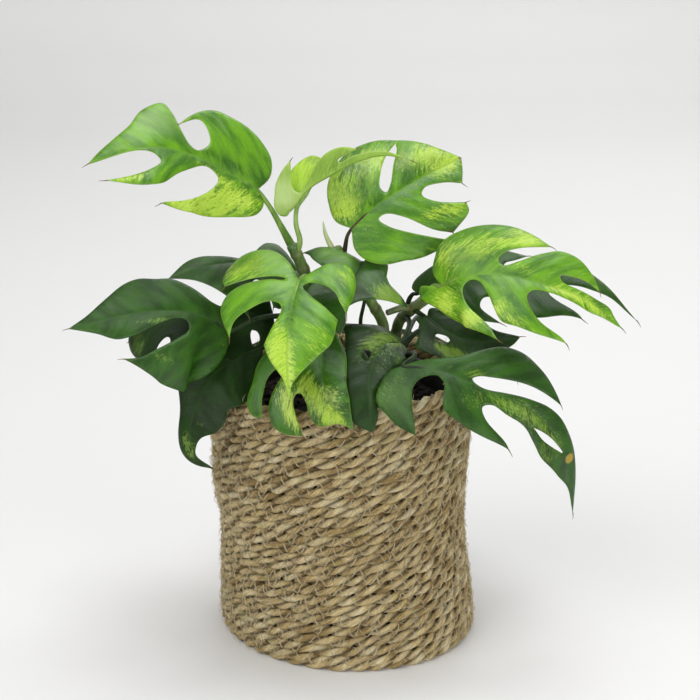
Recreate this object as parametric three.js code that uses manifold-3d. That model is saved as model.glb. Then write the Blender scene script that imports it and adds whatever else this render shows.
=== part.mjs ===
// A potted mint Rhaphidophora tetrasperma: three vines with deeply cut leaves in a black nursery pot,
// which stands in a round basket of coiled jute rope.
// Units are millimetres, +Z is up, and the origin is the middle of the basket's flat underside.
// The front of the plant faces -Y.

import * as THREE from 'three';
import { mergeVertices } from 'three/addons/utils/BufferGeometryUtils.js';
import Module from 'manifold-3d';

const wasm = await Module();
wasm.setup();

// Driving dimensions
const CLEARANCE = 0.3; // between pieces that touch

const BASKET_HEIGHT = 147;
const BASKET_WALL = 6;
const BASKET_FLOOR = 6;
const ROPE_ROWS = 26;
const ROPE_RELIEF = 0.9; // how deep the valley between two rows is
const BASKET_LEVELS = [
  // height and radius to the crest of the rope: a wide foot, a waist and a wider rim
  [0, 70.3], [10, 70.3], [30, 69], [50, 67.8], [70, 67.3], [93, 68.8], [108, 70.2], [147, 70.6],
];
const FOOT_RADIUS = 68.6; // the flat that the basket stands on
const FOOT_ROUND = 6; // height of the rounded bottom edge
const RIM_RADIUS = 70.6;
const RIM_SLOPE = 3.2; // the rim stands this much higher at +X than at the axis
const RIM_BACK_DROP = 2.6; // and this much lower at the back
const BASKET_SIDES = 32;

const POT_TOP_RADIUS = 57.5;
const POT_FOOT_RADIUS = 46;
const POT_HEIGHT = 133;
const POT_WALL = 1.4;
const POT_RIM_WIDTH = 2.2;
const POT_RIM_DEPTH = 9;
const POT_SIDES = 28;
const DRAIN_HOLES = 6;
const DRAIN_RADIUS = 4;
const DRAIN_CIRCLE = 30;

const SOIL_TOP = 128; // height of the soil at the wall of the pot
const SOIL_CROWN = 4; // how much higher it is in the middle

const BLADE = 0.8; // thickness of a leaf blade
const BLADE_GRID = 10; // spacing of the points inside a blade's outline
const BLADE_EDGE_STEPS = 3; // straight pieces between two points of an outline
const STEM_SIDES = 8;
const PETIOLE_SIDES = 6;
const PETIOLE_REACH = 7; // how far a petiole runs on under the midrib

// Colours
const COLOUR = {
  jute: 0xa8926a,
  blackPlastic: 0x17181a,
  soil: 0x2c211a,
  greenStem: 0x5d8330,
  paleSheath: 0xb9cf86,
  mint: 0x7fb52c,
  paleMint: 0xa6cf52,
  deepGreen: 0x274d22,
};

function finish(colour, roughness) {
  return new THREE.MeshStandardMaterial({ color: colour, roughness, metalness: 0 });
}

// Solids

function solidOf(geometry) {
  const bare = geometry.clone();
  bare.deleteAttribute('normal');
  bare.deleteAttribute('uv');
  const merged = mergeVertices(bare, 1e-4);
  const index = merged.getIndex().array;
  const kept = [];
  for (let i = 0; i < index.length; i += 3) {
    const [a, b, c] = [index[i], index[i + 1], index[i + 2]];
    if (a !== b && b !== c && c !== a) kept.push(a, b, c);
  }
  return new wasm.Manifold(new wasm.Mesh({
    numProp: 3,
    vertProperties: new Float32Array(merged.getAttribute('position').array),
    triVerts: new Uint32Array(kept),
  }));
}

function geometryOf(solid) {
  const mesh = solid.getMesh();
  const geometry = new THREE.BufferGeometry();
  geometry.setAttribute('position', new THREE.BufferAttribute(mesh.vertProperties, 3));
  geometry.setIndex(new THREE.BufferAttribute(mesh.triVerts, 1));
  geometry.computeVertexNormals();
  return geometry;
}

function namedMesh(name, solid, material) {
  const mesh = new THREE.Mesh(geometryOf(solid), material);
  mesh.name = name;
  return mesh;
}

function smoothCurve(points) {
  const vectors = points.map((p) => new THREE.Vector3(p[0], p[1], p[2] ?? 0));
  return new THREE.CatmullRomCurve3(vectors, false, 'centripetal');
}

// A round tube along a smooth line. endScale narrows it evenly from 1 at its start to endScale at its end.
function tube(points, radius, sides, stepsPerSpan, endScale = 1) {
  const path = smoothCurve(points);
  const steps = stepsPerSpan * (points.length - 1);
  const section = new THREE.Shape();
  for (let k = 0; k < sides; k += 1) {
    const angle = (2 * Math.PI * k) / sides;
    const [x, y] = [radius * Math.cos(angle), radius * Math.sin(angle)];
    if (k === 0) section.moveTo(x, y);
    else section.lineTo(x, y);
  }
  section.closePath();
  const geometry = new THREE.ExtrudeGeometry(section, { steps, extrudePath: path });
  if (endScale !== 1) {
    const position = geometry.getAttribute('position');
    const stations = Array.from({ length: steps + 1 }, (_, i) => path.getPointAt(i / steps));
    const vertex = new THREE.Vector3();
    for (let i = 0; i < position.count; i += 1) {
      vertex.fromBufferAttribute(position, i);
      const distances = stations.map((s) => s.distanceTo(vertex));
      const nearest = distances.indexOf(Math.min(...distances));
      const scale = 1 + (endScale - 1) * (nearest / steps);
      vertex.sub(stations[nearest]).multiplyScalar(scale).add(stations[nearest]);
      position.setXYZ(i, vertex.x, vertex.y, vertex.z);
    }
  }
  return solidOf(geometry);
}

// Basket of coiled rope

function basketRadiusAt(z) {
  const above = BASKET_LEVELS.findIndex(([height]) => height >= z && height > 0);
  const [[lowZ, low], [highZ, high]] = [BASKET_LEVELS[above - 1], BASKET_LEVELS[above]];
  const rounding = 1.6 * Math.max(0, 1 - z / FOOT_ROUND) ** 2;
  return low + ((high - low) * (z - lowZ)) / (highZ - lowZ) - rounding;
}

function basketProfile() {
  const row = BASKET_HEIGHT / ROPE_ROWS;
  const points = [new THREE.Vector2(0, 0), new THREE.Vector2(FOOT_RADIUS, 0)];
  for (let k = 0; k < ROPE_ROWS; k += 1) {
    const crest = (k + 0.5) * row;
    const valley = (k + 1) * row;
    points.push(new THREE.Vector2(basketRadiusAt(crest), crest));
    if (k < ROPE_ROWS - 1) points.push(new THREE.Vector2(basketRadiusAt(valley) - ROPE_RELIEF, valley));
  }
  const top = BASKET_HEIGHT;
  const inner = (z) => basketRadiusAt(z) - BASKET_WALL;
  points.push(new THREE.Vector2(basketRadiusAt(top) - 1.6, top));
  points.push(new THREE.Vector2(inner(top) + 1.2, top));
  points.push(new THREE.Vector2(inner(top), top - 2.5));
  points.push(new THREE.Vector2(inner(100), 100));
  points.push(new THREE.Vector2(inner(70), 70));
  points.push(new THREE.Vector2(inner(30), 30));
  points.push(new THREE.Vector2(inner(FOOT_ROUND), BASKET_FLOOR));
  points.push(new THREE.Vector2(0, BASKET_FLOOR));
  return points;
}

// Hand-made: the foot bulges towards the front right, the upper wall towards the left, and the rim rises
// towards the right and sinks at the back.
function shapeByHand(geometry) {
  const position = geometry.getAttribute('position');
  for (let i = 0; i < position.count; i += 1) {
    const [x, y, z] = [position.getX(i), position.getY(i), position.getZ(i)];
    const out = Math.hypot(x, y);
    if (out < 40) continue;
    const angle = Math.atan2(y, x);
    const low = Math.exp(-((z / 38) ** 2)) * (3 * Math.cos(angle + 0.61) + 2.2 * Math.cos(2 * angle + 1.4));
    const left = THREE.MathUtils.smoothstep(z, 67, 77) * (1 - 0.5 * THREE.MathUtils.smoothstep(z, 92, 108));
    const high = 2.7 * left * Math.max(0, -Math.cos(angle)) ** 2;
    const bulge = 1 + (low + high) / out;
    const drop = RIM_BACK_DROP * (Math.max(0, y) / RIM_RADIUS) ** 2;
    const lift = ((RIM_SLOPE * x) / RIM_RADIUS - drop) * (z / BASKET_HEIGHT) ** 2;
    position.setXYZ(i, x * bulge, y * bulge, z + lift);
  }
  return geometry;
}

function basket() {
  const lathe = new THREE.LatheGeometry(basketProfile(), BASKET_SIDES);
  lathe.rotateX(Math.PI / 2);
  return namedMesh('basket', solidOf(shapeByHand(lathe)), finish(COLOUR.jute, 0.92));
}

// Nursery pot and soil

const POT_BASE = BASKET_FLOOR + CLEARANCE;

function potOuter(z) {
  const share = (z - POT_BASE) / POT_HEIGHT;
  return POT_FOOT_RADIUS + (POT_TOP_RADIUS - POT_FOOT_RADIUS) * share;
}

function lathe(profile, sides) {
  const geometry = new THREE.LatheGeometry(profile.map(([r, z]) => new THREE.Vector2(r, z)), sides);
  geometry.rotateX(Math.PI / 2);
  return solidOf(geometry);
}

function nurseryPot() {
  const top = POT_BASE + POT_HEIGHT;
  const rimFoot = top - POT_RIM_DEPTH;
  const floor = POT_BASE + POT_WALL;
  let pot = lathe([
    [0, POT_BASE],
    [POT_FOOT_RADIUS, POT_BASE],
    [potOuter(rimFoot), rimFoot],
    [potOuter(rimFoot) + POT_RIM_WIDTH, rimFoot],
    [POT_TOP_RADIUS + POT_RIM_WIDTH, top],
    [POT_TOP_RADIUS - POT_WALL, top],
    [potOuter(floor) - POT_WALL, floor],
    [0, floor],
  ], POT_SIDES);
  for (let k = 0; k < DRAIN_HOLES; k += 1) {
    const angle = (2 * Math.PI * k) / DRAIN_HOLES;
    const drill = new THREE.CylinderGeometry(DRAIN_RADIUS, DRAIN_RADIUS, 6, 12);
    drill.rotateX(Math.PI / 2);
    drill.translate(DRAIN_CIRCLE * Math.cos(angle), DRAIN_CIRCLE * Math.sin(angle), POT_BASE);
    pot = pot.subtract(solidOf(drill));
  }
  return namedMesh('nursery_pot', pot, finish(COLOUR.blackPlastic, 0.45));
}

function pottingSoil(stems) {
  const low = POT_BASE + POT_WALL + CLEARANCE;
  const inside = (z) => potOuter(z) - POT_WALL - CLEARANCE;
  let soil = lathe([
    [0, low],
    [inside(low), low],
    [inside(SOIL_TOP), SOIL_TOP],
    [inside(SOIL_TOP) * 0.66, SOIL_TOP + SOIL_CROWN * 0.55],
    [inside(SOIL_TOP) * 0.33, SOIL_TOP + SOIL_CROWN * 0.9],
    [0, SOIL_TOP + SOIL_CROWN],
  ], POT_SIDES);
  for (const stem of stems) soil = soil.subtract(stemSolid(stem, CLEARANCE));
  return namedMesh('potting_soil', soil, finish(COLOUR.soil, 0.95));
}

// Vines. Each stands in a plain hole in the soil.

const STEMS = {
  stem_left: {
    radius: 3.4,
    path: [[-8, 6, 104], [-9, 4, 130], [-12, -1, 160], [-16, -5, 186], [-20, -8, 204], [-26, -11, 219]],
  },
  stem_middle: {
    radius: 3.2,
    path: [[17, 4, 104], [20, 4, 132], [23, 3, 158], [22, 2, 172], [15, 0, 186], [5, -2, 205],
      [-3, -3, 215]],
  },
  stem_right: {
    radius: 3.2,
    path: [[31, 18, 104], [30, 15, 132], [29, 11, 156], [31, 5, 172], [38, -4, 182], [44, -10, 189]],
    stub: { radius: 1.7, path: [[37, -3, 181], [33, -8, 184], [24, -11, 182]] },
  },
};

function stemSolid(stem, grown = 0) {
  const vine = tube(stem.path, stem.radius + grown, STEM_SIDES, 2);
  return stem.stub ? vine.add(tube(stem.stub.path, stem.stub.radius + grown, PETIOLE_SIDES, 2)) : vine;
}

function stems() {
  const green = finish(COLOUR.greenStem, 0.5);
  return Object.entries(STEMS).map(([name, stem]) => namedMesh(name, stemSolid(stem), green));
}

// The pale pointed sheath at the top of the middle vine
function shootTip() {
  const path = [[-2, -2, 209], [-6, 0, 216], [-9, 1, 223], [-10, 2, 229]];
  const tip = tube(path, 1.9, PETIOLE_SIDES, 2, 0.3).subtract(stemSolid(STEMS.stem_middle, CLEARANCE));
  return namedMesh('shoot_tip', tip, finish(COLOUR.paleSheath, 0.5));
}

// Leaves
//
// A blade lies on a bent sheet. A point of the sheet is given by s, the distance along the midrib from
// where the petiole joins, and t, the distance from the midrib, positive on the leaf's left.
//   rib      points of the midrib from the base to the tip
//   face     the way the upper side faces, at the base and at the tip
//   left     how that half is bent: its rise from the midrib in degrees and its fall in degrees for each
//   right    10 mm outwards, at the base and then at the tip
//   outline  strokes round the blade, each smooth, that meet in the points of the lobes
//   holes    closed holes in the blade
//   petiole  the leaf stalk: its points from the axis of its vine to the base of the blade, and its radius
//            where it starts and where it ends

const LEAVES = {
  leaf_upper_left: {
    rib: [[-44, -6, 248], [-62, -16, 261], [-75, -24, 270], [-97, -34, 277], [-127, -46, 271]],
    face: [[-0.2, -0.62, 0.75], [-0.3, -0.58, 0.76]],
    left: [-4, 7, -4, 8],
    right: [20, 5, 12, 7],
    outline: [
      [[0, 0], [-5, 6], [-2, 14], [12, 22], [35, 31], [70, 33]],
      [[45, 26], [30, 15], [26, 6], [34, 3], [50, 12], [63, 21], [79, 22], [96, 13]],
      [[82, 15], [72, 14], [63, 9], [66, 4], [74, 1], [101, 0]],
      [[93, -5], [74, -15], [66, -25], [58, -29], [55, -24], [50, -12], [46, -6], [41, -4], [35, -10],
        [36, -17], [40, -23], [52, -16]],
      [[44, -25], [33, -33], [19, -32], [6, -27], [-3, -20], [-5, -10], [0, 0]],
    ],
    petiole: {
      radii: [2.6, 1.3],
      path: [[-19, -7, 203], [-27, -5, 218], [-32, -6, 228], [-38, -6, 239], [-44, -6, 248]],
    },
    tone: 'mint',
  },
  leaf_unfurling: {
    rib: [[-24, -14, 241], [-20, -17, 247.5], [-14, -20, 254.5], [-5, -23, 260.5], [7.5, -26, 267.5],
      [22, -28, 271.5], [36, -30, 269]],
    face: [[-0.5, 0, 0.85], [0, 0, 1]],
    left: [66, 10, 60, 6],
    right: [80, 0, 75, 0],
    outline: [
      [[0, 0], [-4, -1], [-8, -1], [-10, -4], [-8, -8.5], [0, -13], [8, -16], [18, -18]],
      [[14.5, -13], [10.5, -9.5], [8, -5], [8.5, -2.5], [11, -2.5], [15, -3], [20.5, -5.5], [26, -9],
        [33, -11.5], [40, -11], [47.5, -6.5]],
      [[42, -6], [36, -5], [36, -3.5], [44.5, -3.8], [57, -2.6], [73.5, 0]],
      [[60, 1.2], [46, 1.6], [36, 2.5], [30, 5], [27, 10], [22, 14.5], [14, 16], [6, 15.5], [-2, 12],
        [-7, 7], [-6, 1.5], [0, 0]],
    ],
    petiole: {
      radii: [1.6, 1.2],
      path: [[-24, -10, 214], [-22, -13, 222], [-24, -14, 232], [-24, -14, 241]],
    },
    tone: 'paleMint',
  },
  leaf_centre: {
    rib: [[-22, -42, 209], [-25, -54, 201], [-27, -70, 186], [-27, -80, 171], [-26, -88, 159]],
    face: [[-0.05, -0.62, 0.78], [0, -0.85, 0.5]],
    left: [12, 12, 8, 6],
    right: [10, 10, 8, 6],
    outline: [
      [[0, 0], [-11, -8], [-17, -17], [-17, -28], [-13, -37], [-6, -42], [1, -42.5], [7, -39]],
      [[4.5, -31.5], [2.5, -25], [1, -18], [0, -11], [0.5, -6.5], [2, -8], [2.8, -14], [4.3, -21],
        [6, -26.5], [9, -32], [13, -36], [20, -37.3], [36, -30]],
      [[27, -28], [20, -20], [16, -12], [17, -6], [21, -5], [29, -8], [40, -12]],
      [[47, -9], [58, -2], [69, 0]],
      [[60, 2], [54, 7], [46, 15], [38, 22], [23, 24.5]],
      [[16, 17], [9, 8], [4, 3], [1, 6], [1, 13], [4, 20], [10, 24], [18, 28.5]],
      [[11, 29], [1, 30], [-7, 29], [-15, 24], [-15, 16], [-9, 8], [0, 0]],
    ],
    petiole: {
      radii: [1.8, 1.2],
      path: [[-15, -4, 182], [-17, -20, 198], [-19, -34, 209], [-22, -42, 209]],
    },
    tone: 'mint',
  },
  leaf_upper_right: {
    rib: [[5, -6, 227], [14, -2, 235], [27, 4, 243], [44, 12, 251], [64, 18, 260]],
    face: [[-0.15, -0.85, 0.5], [-0.25, -0.75, 0.6]],
    left: [6, 9, 6, 8],
    right: [6, 10, 6, 10],
    outline: [
      [[0, 0], [-3, 9], [3, 21], [13, 32], [23, 38], [32, 39], [42, 36], [50, 28], [59, 18], [72, 0]],
      [[69, -7], [65, -14]],
      [[57, -9], [46, -6], [42, -9], [47, -16], [62, -24]],
      [[61, -29], [46, -35]],
      [[36, -28], [26, -14], [19, -7], [14, -7], [16, -14], [24, -23], [33, -31], [43, -38]],
      [[34, -39], [20, -37], [3, -30], [-6, -20], [-7, -10], [0, 0]],
    ],
    holes: [[[48, 27], [41, 23], [32, 15], [26, 7], [27, 3], [32, 6], [39, 14], [46, 22]]],
    petiole: { radii: [1.3, 0.9], path: [[1, -3, 210], [2, -4, 218], [3, -5, 223], [5, -6, 227]] },
    tone: 'mint',
  },
  leaf_right: {
    rib: [[52, -32, 203], [62, -38, 210], [81, -44, 213], [101, -50, 210], [124, -54, 203],
      [142, -58, 189]],
    face: [[0.05, -0.66, 0.75], [0.3, -0.6, 0.75]],
    left: [22, 6, 14, 8],
    right: [-4, 7, 0, 7],
    outline: [
      [[0, 0], [-3, 9], [2, 18], [10, 24], [20, 27], [34, 28], [44, 26], [55, 22]],
      [[47, 19], [40, 16], [34, 12], [32, 8], [35, 5], [42, 9], [51, 16], [61, 21], [70, 20],
        [77, 15], [84, 7.5]],
      [[76, 9], [70, 8.5], [64, 7], [66, 4], [74, 3], [84, 3], [92, 4], [97, 2], [104, 0]],
      [[93, -3], [84, -6], [71, -5], [62, -4], [53, -5], [51, -9], [55, -16], [62, -22], [84, -28]],
      [[62, -28], [52, -27], [42, -26], [34, -19], [28, -10], [23, -4], [18, -3], [14, -7],
        [17, -17], [43, -36]],
      [[26, -32], [8, -25], [-5, -11], [-15, 0], [-13, 5], [-7, 3], [0, 0]],
    ],
    petiole: { radii: [1.9, 1.2], path: [[42, -8, 187], [46, -20, 197], [49, -28, 202], [52, -32, 203]] },
    tone: 'mint',
  },
  leaf_under_right: {
    rib: [[40, -1, 190], [53, -7, 196], [73, -13, 200], [99, -20, 198], [130, -28, 199], [152, -34, 186]],
    face: [[0.1, -0.6, 0.8], [0.3, -0.6, 0.75]],
    left: [10, 10, 8, 9],
    right: [4, 10, 4, 8],
    outline: [
      [[0, 0], [-3, 4], [-1, 9], [7, 13.5], [18, 16.5], [30, 20], [43, 24], [58, 23]],
      [[52, 18], [47, 14], [49, 9], [60, 13], [74, 17], [87, 15], [98, 9], [109, 5], [125, 0]],
      [[108, 2], [97, 1], [87, 2], [79, 2], [74, -2], [79, -8], [98, -19]],
      [[82, -17], [71, -18], [60, -18], [51, -15], [46, -10], [41, -11], [40, -16], [54, -24]],
      [[42, -24], [30, -21], [19, -15], [8, -8], [0, 0]],
    ],
    petiole: { radii: [1.6, 1], path: [[36, -1, 179], [36, 4, 184], [38, 3, 188], [40, -1, 190]] },
    tone: 'deepGreen',
  },
  leaf_behind_centre: {
    rib: [[11, -10, 210], [6, -22, 203], [2, -38, 195], [-1, -50, 182]],
    face: [[0.1, -0.5, 0.85], [0.05, -0.85, 0.5]],
    left: [14, 13, 10, 10],
    right: [14, 13, 10, 10],
    outline: [
      [[0, 0], [-1, -8], [-2, -18], [-1, -26], [5, -33]],
      [[6, -29], [9, -25], [13, -17], [17, -11], [21, -14], [25, -20], [36, -26]],
      [[39, -19], [41, -12], [45, -6], [51, 0]],
      [[44, 2], [36, 1], [31, 5], [27, 12], [23, 21], [19, 33]],
      [[13, 26], [9, 19], [5, 15.5]],
      [[-3, 13], [-6, 8], [-5, 3], [0, 0]],
    ],
    petiole: {
      radii: [1.3, 0.9],
      path: [[23, 3, 152], [14, -4, 163], [10, -6, 174], [12, -8, 188], [12, -9, 201], [11, -10, 210]],
    },
    tone: 'deepGreen',
  },
  leaf_back_left: {
    rib: [[-23, 6, 200], [-37, 2, 206], [-54, -4, 208], [-72, -12, 208], [-90, -20, 204]],
    face: [[-0.1, -0.5, 0.85], [-0.3, -0.5, 0.8]],
    left: [6, 10, 6, 8],
    right: [6, 10, 6, 8],
    outline: [
      [[0, 0], [5, -6], [9.5, -11.5], [13, -15.5], [17, -15.5], [20.5, -12], [24.5, -7]],
      [[24, -2.5], [28, -1], [34, -3], [40, -5], [46, -6.5], [54, -8], [62, -7], [75, 0]],
      [[69, 4], [63, 9], [57, 16], [51, 24], [40, 38]],
      [[38, 26], [33, 17], [28, 14], [24, 20], [20, 31]],
      [[8, 28], [1, 18], [-2, 8], [0, 0]],
    ],
    petiole: { radii: [1.7, 1.1], path: [[-16, -5, 188], [-18, 2, 196], [-23, 6, 200]] },
    tone: 'deepGreen',
  },
  leaf_left: {
    rib: [[-59, -34, 179], [-75, -42, 191], [-98, -50, 195], [-118, -56, 193], [-138, -60, 189]],
    face: [[-0.2, -0.62, 0.76], [-0.3, -0.6, 0.74]],
    left: [-4, 8, -2, 8],
    right: [14, 7, 8, 8],
    outline: [
      [[0, 0], [-2, 9], [1, 22], [6, 32], [18, 41]],
      [[28, 43], [42, 41], [54, 35], [66, 24]],
      [[58, 25], [47, 22], [34, 16], [26, 10], [27, 5], [33, 4], [42, 7], [55, 12], [66, 13],
        [76, 7], [89, 0]],
      [[78, -5], [66, -13], [56, -19], [49, -21], [41, -20], [33, -20], [25, -16], [16, -10],
        [7, -9], [0, 0]],
    ],
    petiole: {
      radii: [1.9, 1.2],
      path: [[-13, -2, 166], [-25, -14, 180], [-43, -27, 184], [-59, -34, 179]],
    },
    tone: 'deepGreen',
  },
  leaf_low_left: {
    rib: [[-42, -24, 167], [-56, -33, 163], [-68, -42, 156], [-76, -49, 142], [-79, -54, 126],
      [-67, -58, 112]],
    face: [[-0.2, -0.85, 0.5], [-0.55, -0.8, 0.2]],
    left: [0, 7, 0, 7],
    right: [6, 4, 0, 7],
    outline: [
      [[0, 0], [5, 8], [16, 17], [28, 22], [38, 22], [46, 17]],
      [[54, 18], [65, 13], [73, 2], [77, -2], [89, 0]],
      [[81, -6], [74, -8], [66, -7], [57, -8], [47, -13], [41, -22], [34, -30], [30.8, -33.5],
        [30.9, -36.5], [33.5, -37.8], [37, -37.5], [40.5, -40], [41.5, -48], [40, -56], [37.5, -61]],
      [[34.5, -63], [31.5, -60], [27, -51], [20, -40], [8, -31], [-8, -30], [-18, -22]],
      [[-12, -8], [0, 0]],
    ],
    holes: [[[0.2, -11], [-1.8, -9.2], [-1.4, -5.5], [1.6, -2.4], [4.2, -2.2], [3.8, -6], [2, -9.6]]],
    petiole: {
      radii: [1.9, 1.2],
      path: [[-11, 1, 152], [-22, -9, 162], [-33, -17, 167], [-42, -24, 167]],
    },
    tone: 'deepGreen',
  },
  leaf_low_centre: {
    rib: [[-6, -34, 182], [-10, -50, 173], [-9, -66, 161], [-2, -76, 151], [6, -80, 142]],
    face: [[-0.05, -0.7, 0.7], [0, -0.9, 0.4]],
    left: [8, 9, 6, 6],
    right: [14, 12, 8, 8],
    outline: [
      [[0, 0], [9, 8], [24, 13], [51, 9], [68, 0]],
      [[61, -4], [56, -13], [51, -14], [44, -12], [40, -13], [41, -17], [56, -22]],
      [[52, -28], [47, -32], [42, -32], [38, -28], [34, -23], [29, -18], [28, -22], [31, -28],
        [35, -31], [42, -36]],
      [[40, -41], [37, -42], [31, -37], [24, -34], [17, -27], [11, -16], [3, -8], [0, 0]],
    ],
    petiole: {
      radii: [1.7, 1.1],
      path: [[-12, -1, 160], [-9, -14, 174], [-7, -26, 182], [-6, -34, 182]],
    },
    tone: 'mint',
  },
  leaf_low_middle: {
    rib: [[31, -34, 173], [22, -44, 175], [15, -56, 166], [14, -70, 153], [16, -77, 139]],
    face: [[-0.1, -0.6, 0.78], [0, -0.9, 0.4]],
    left: [8, 8, 6, 6],
    right: [8, 9, 8, 8],
    outline: [
      [[0, 0], [3, 8], [18, 15], [27, 11], [36, 8], [45, 3], [57, 4], [66, 0]],
      [[62, -6], [58, -10], [46, -11], [29, -14], [18, -21], [15, -28]],
      [[11, -16], [4, -10], [-2, -5], [0, 0]],
    ],
    holes: [[[25, -7], [21, -6.5], [22, -3], [27, -4]]],
    petiole: { radii: [1.6, 1], path: [[34, 1, 177], [36, -12, 177], [34, -26, 176], [31, -34, 173]] },
    tone: 'deepGreen',
  },
  leaf_low_right: {
    rib: [[31, -63, 170], [50, -71, 170], [73, -76, 162], [96, -77, 151], [113, -75, 129],
      [120, -71, 91]],
    face: [[0.15, -0.7, 0.7], [0.7, -0.6, 0.3]],
    left: [10, 9, 4, 8],
    right: [0, 8, 0, 6],
    outline: [
      [[0, 0], [6, 3], [19, 7], [28, 12], [36, 20], [45, 27], [58, 29], [68, 25], [84, 15]],
      [[71, 12.5], [58, 10], [47, 7.5], [40, 5], [37, 2], [43, 0], [56, 2], [69, 5], [78, 8],
        [87, 9.5], [96, 8.5],
        [110, 6], [122, 4], [138, 0]],
      [[122, -2], [110, -9], [93, -15], [82, -13], [73, -10], [60, -9], [51, -7], [47, -10],
        [51, -16], [72, -25]],
      [[50, -24], [39, -22], [30, -19], [25, -6]],
      [[20, -3], [12, -6], [9, -11], [11, -22], [17, -36]],
      [[6, -33], [-1, -28], [-9, -21], [-9, -13], [-6, -4], [0, 0]],
    ],
    holes: [[[77, -7], [86, -4], [95, -2], [101, -1], [95, -5], [86, -8]]],
    petiole: {
      radii: [1.9, 1.2],
      path: [[21, 4, 143], [30, -12, 156], [37, -34, 167], [37, -52, 171], [31, -63, 170]],
    },
    tone: 'deepGreen',
  },
  leaf_mid_right: {
    rib: [[45, -18, 182], [52, -28, 179], [63, -36, 176], [77, -42, 176], [91, -46, 179]],
    face: [[0.1, -0.6, 0.78], [0.2, -0.6, 0.75]],
    left: [10, 8, 6, 8],
    right: [4, 9, 4, 8],
    outline: [
      [[0, 0], [-4, 5], [2, 10], [14, 13], [31, 13], [46, 6], [58, 1]],
      [[55, -3], [50, -6]],
      [[44, -8], [38, -9], [33, -12], [33, -16]],
      [[24, -16], [12, -19]],
      [[10, -13], [6, -8], [-3, -5], [0, 0]],
    ],
    holes: [[[16, -8], [14, -5], [19, -3], [22, -5], [19, -8]]],
    petiole: { radii: [1.6, 1], path: [[38, -4, 182], [41, -11, 182], [45, -18, 182]] },
    tone: 'deepGreen',
  },
  leaf_rear_low_left: {
    rib: [[-28, 80, 138], [-34, 89, 122], [-39, 92, 102], [-41, 91, 80]],
    face: [[-0.1, 0.75, 0.6], [-0.1, 0.95, 0.2]],
    left: [8, 9, 6, 8],
    right: [8, 9, 6, 8],
    like: { leaf: 'leaf_upper_right', scale: 0.75, mirrored: false },
    petiole: {
      radii: [1.6, 1],
      path: [[-9, 3, 140], [-13, 22, 158], [-19, 46, 166], [-25, 68, 154], [-28, 80, 138]],
    },
    tone: 'deepGreen',
  },
  leaf_rear_centre: {
    rib: [[-8, 87, 142], [-4, 102, 127], [3, 108, 106], [6, 106, 84]],
    face: [[0.1, 0.75, 0.6], [0.1, 0.95, 0.2]],
    left: [8, 9, 6, 8],
    right: [8, 9, 6, 8],
    like: { leaf: 'leaf_left', scale: 0.72, mirrored: true },
    petiole: {
      radii: [1.6, 1],
      path: [[20, 4, 138], [6, 24, 156], [-8, 48, 167], [-11, 70, 159], [-8, 87, 142]],
    },
    tone: 'mint',
  },
  leaf_rear_low_right: {
    rib: [[44, 72, 142], [46, 86, 126], [44, 92, 106], [40, 91, 86]],
    face: [[0.2, 0.75, 0.6], [0.2, 0.95, 0.2]],
    left: [8, 9, 6, 8],
    right: [8, 9, 6, 8],
    like: { leaf: 'leaf_upper_right', scale: 0.64, mirrored: true },
    petiole: {
      radii: [1.5, 1],
      path: [[30, 14, 140], [36, 30, 156], [42, 48, 161], [45, 60, 155], [44, 72, 142]],
    },
    tone: 'deepGreen',
  },
  leaf_rear_left: {
    rib: [[-54, 18, 172], [-78, 26, 175], [-104, 32, 171], [-126, 36, 161]],
    face: [[0.05, 0.35, 0.93], [-0.2, 0.3, 0.9]],
    left: [6, 9, 6, 8],
    right: [6, 9, 6, 8],
    like: { leaf: 'leaf_upper_left', scale: 0.8, mirrored: false },
    petiole: { radii: [1.7, 1.1], path: [[-10, 3, 149], [-28, 12, 162], [-44, 16, 170], [-54, 18, 172]] },
    tone: 'deepGreen',
  },
  leaf_rear_right: {
    rib: [[56, 30, 162], [73, 38, 154], [89, 45, 141], [99, 50, 124]],
    face: [[0.35, 0.35, 0.85], [0.6, 0.3, 0.7]],
    left: [6, 9, 6, 8],
    right: [6, 9, 6, 8],
    like: { leaf: 'leaf_left', scale: 0.72, mirrored: true },
    petiole: { radii: [1.7, 1.1], path: [[29, 13, 146], [38, 21, 158], [47, 26, 162], [56, 30, 162]] },
    tone: 'deepGreen',
  },
};

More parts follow.
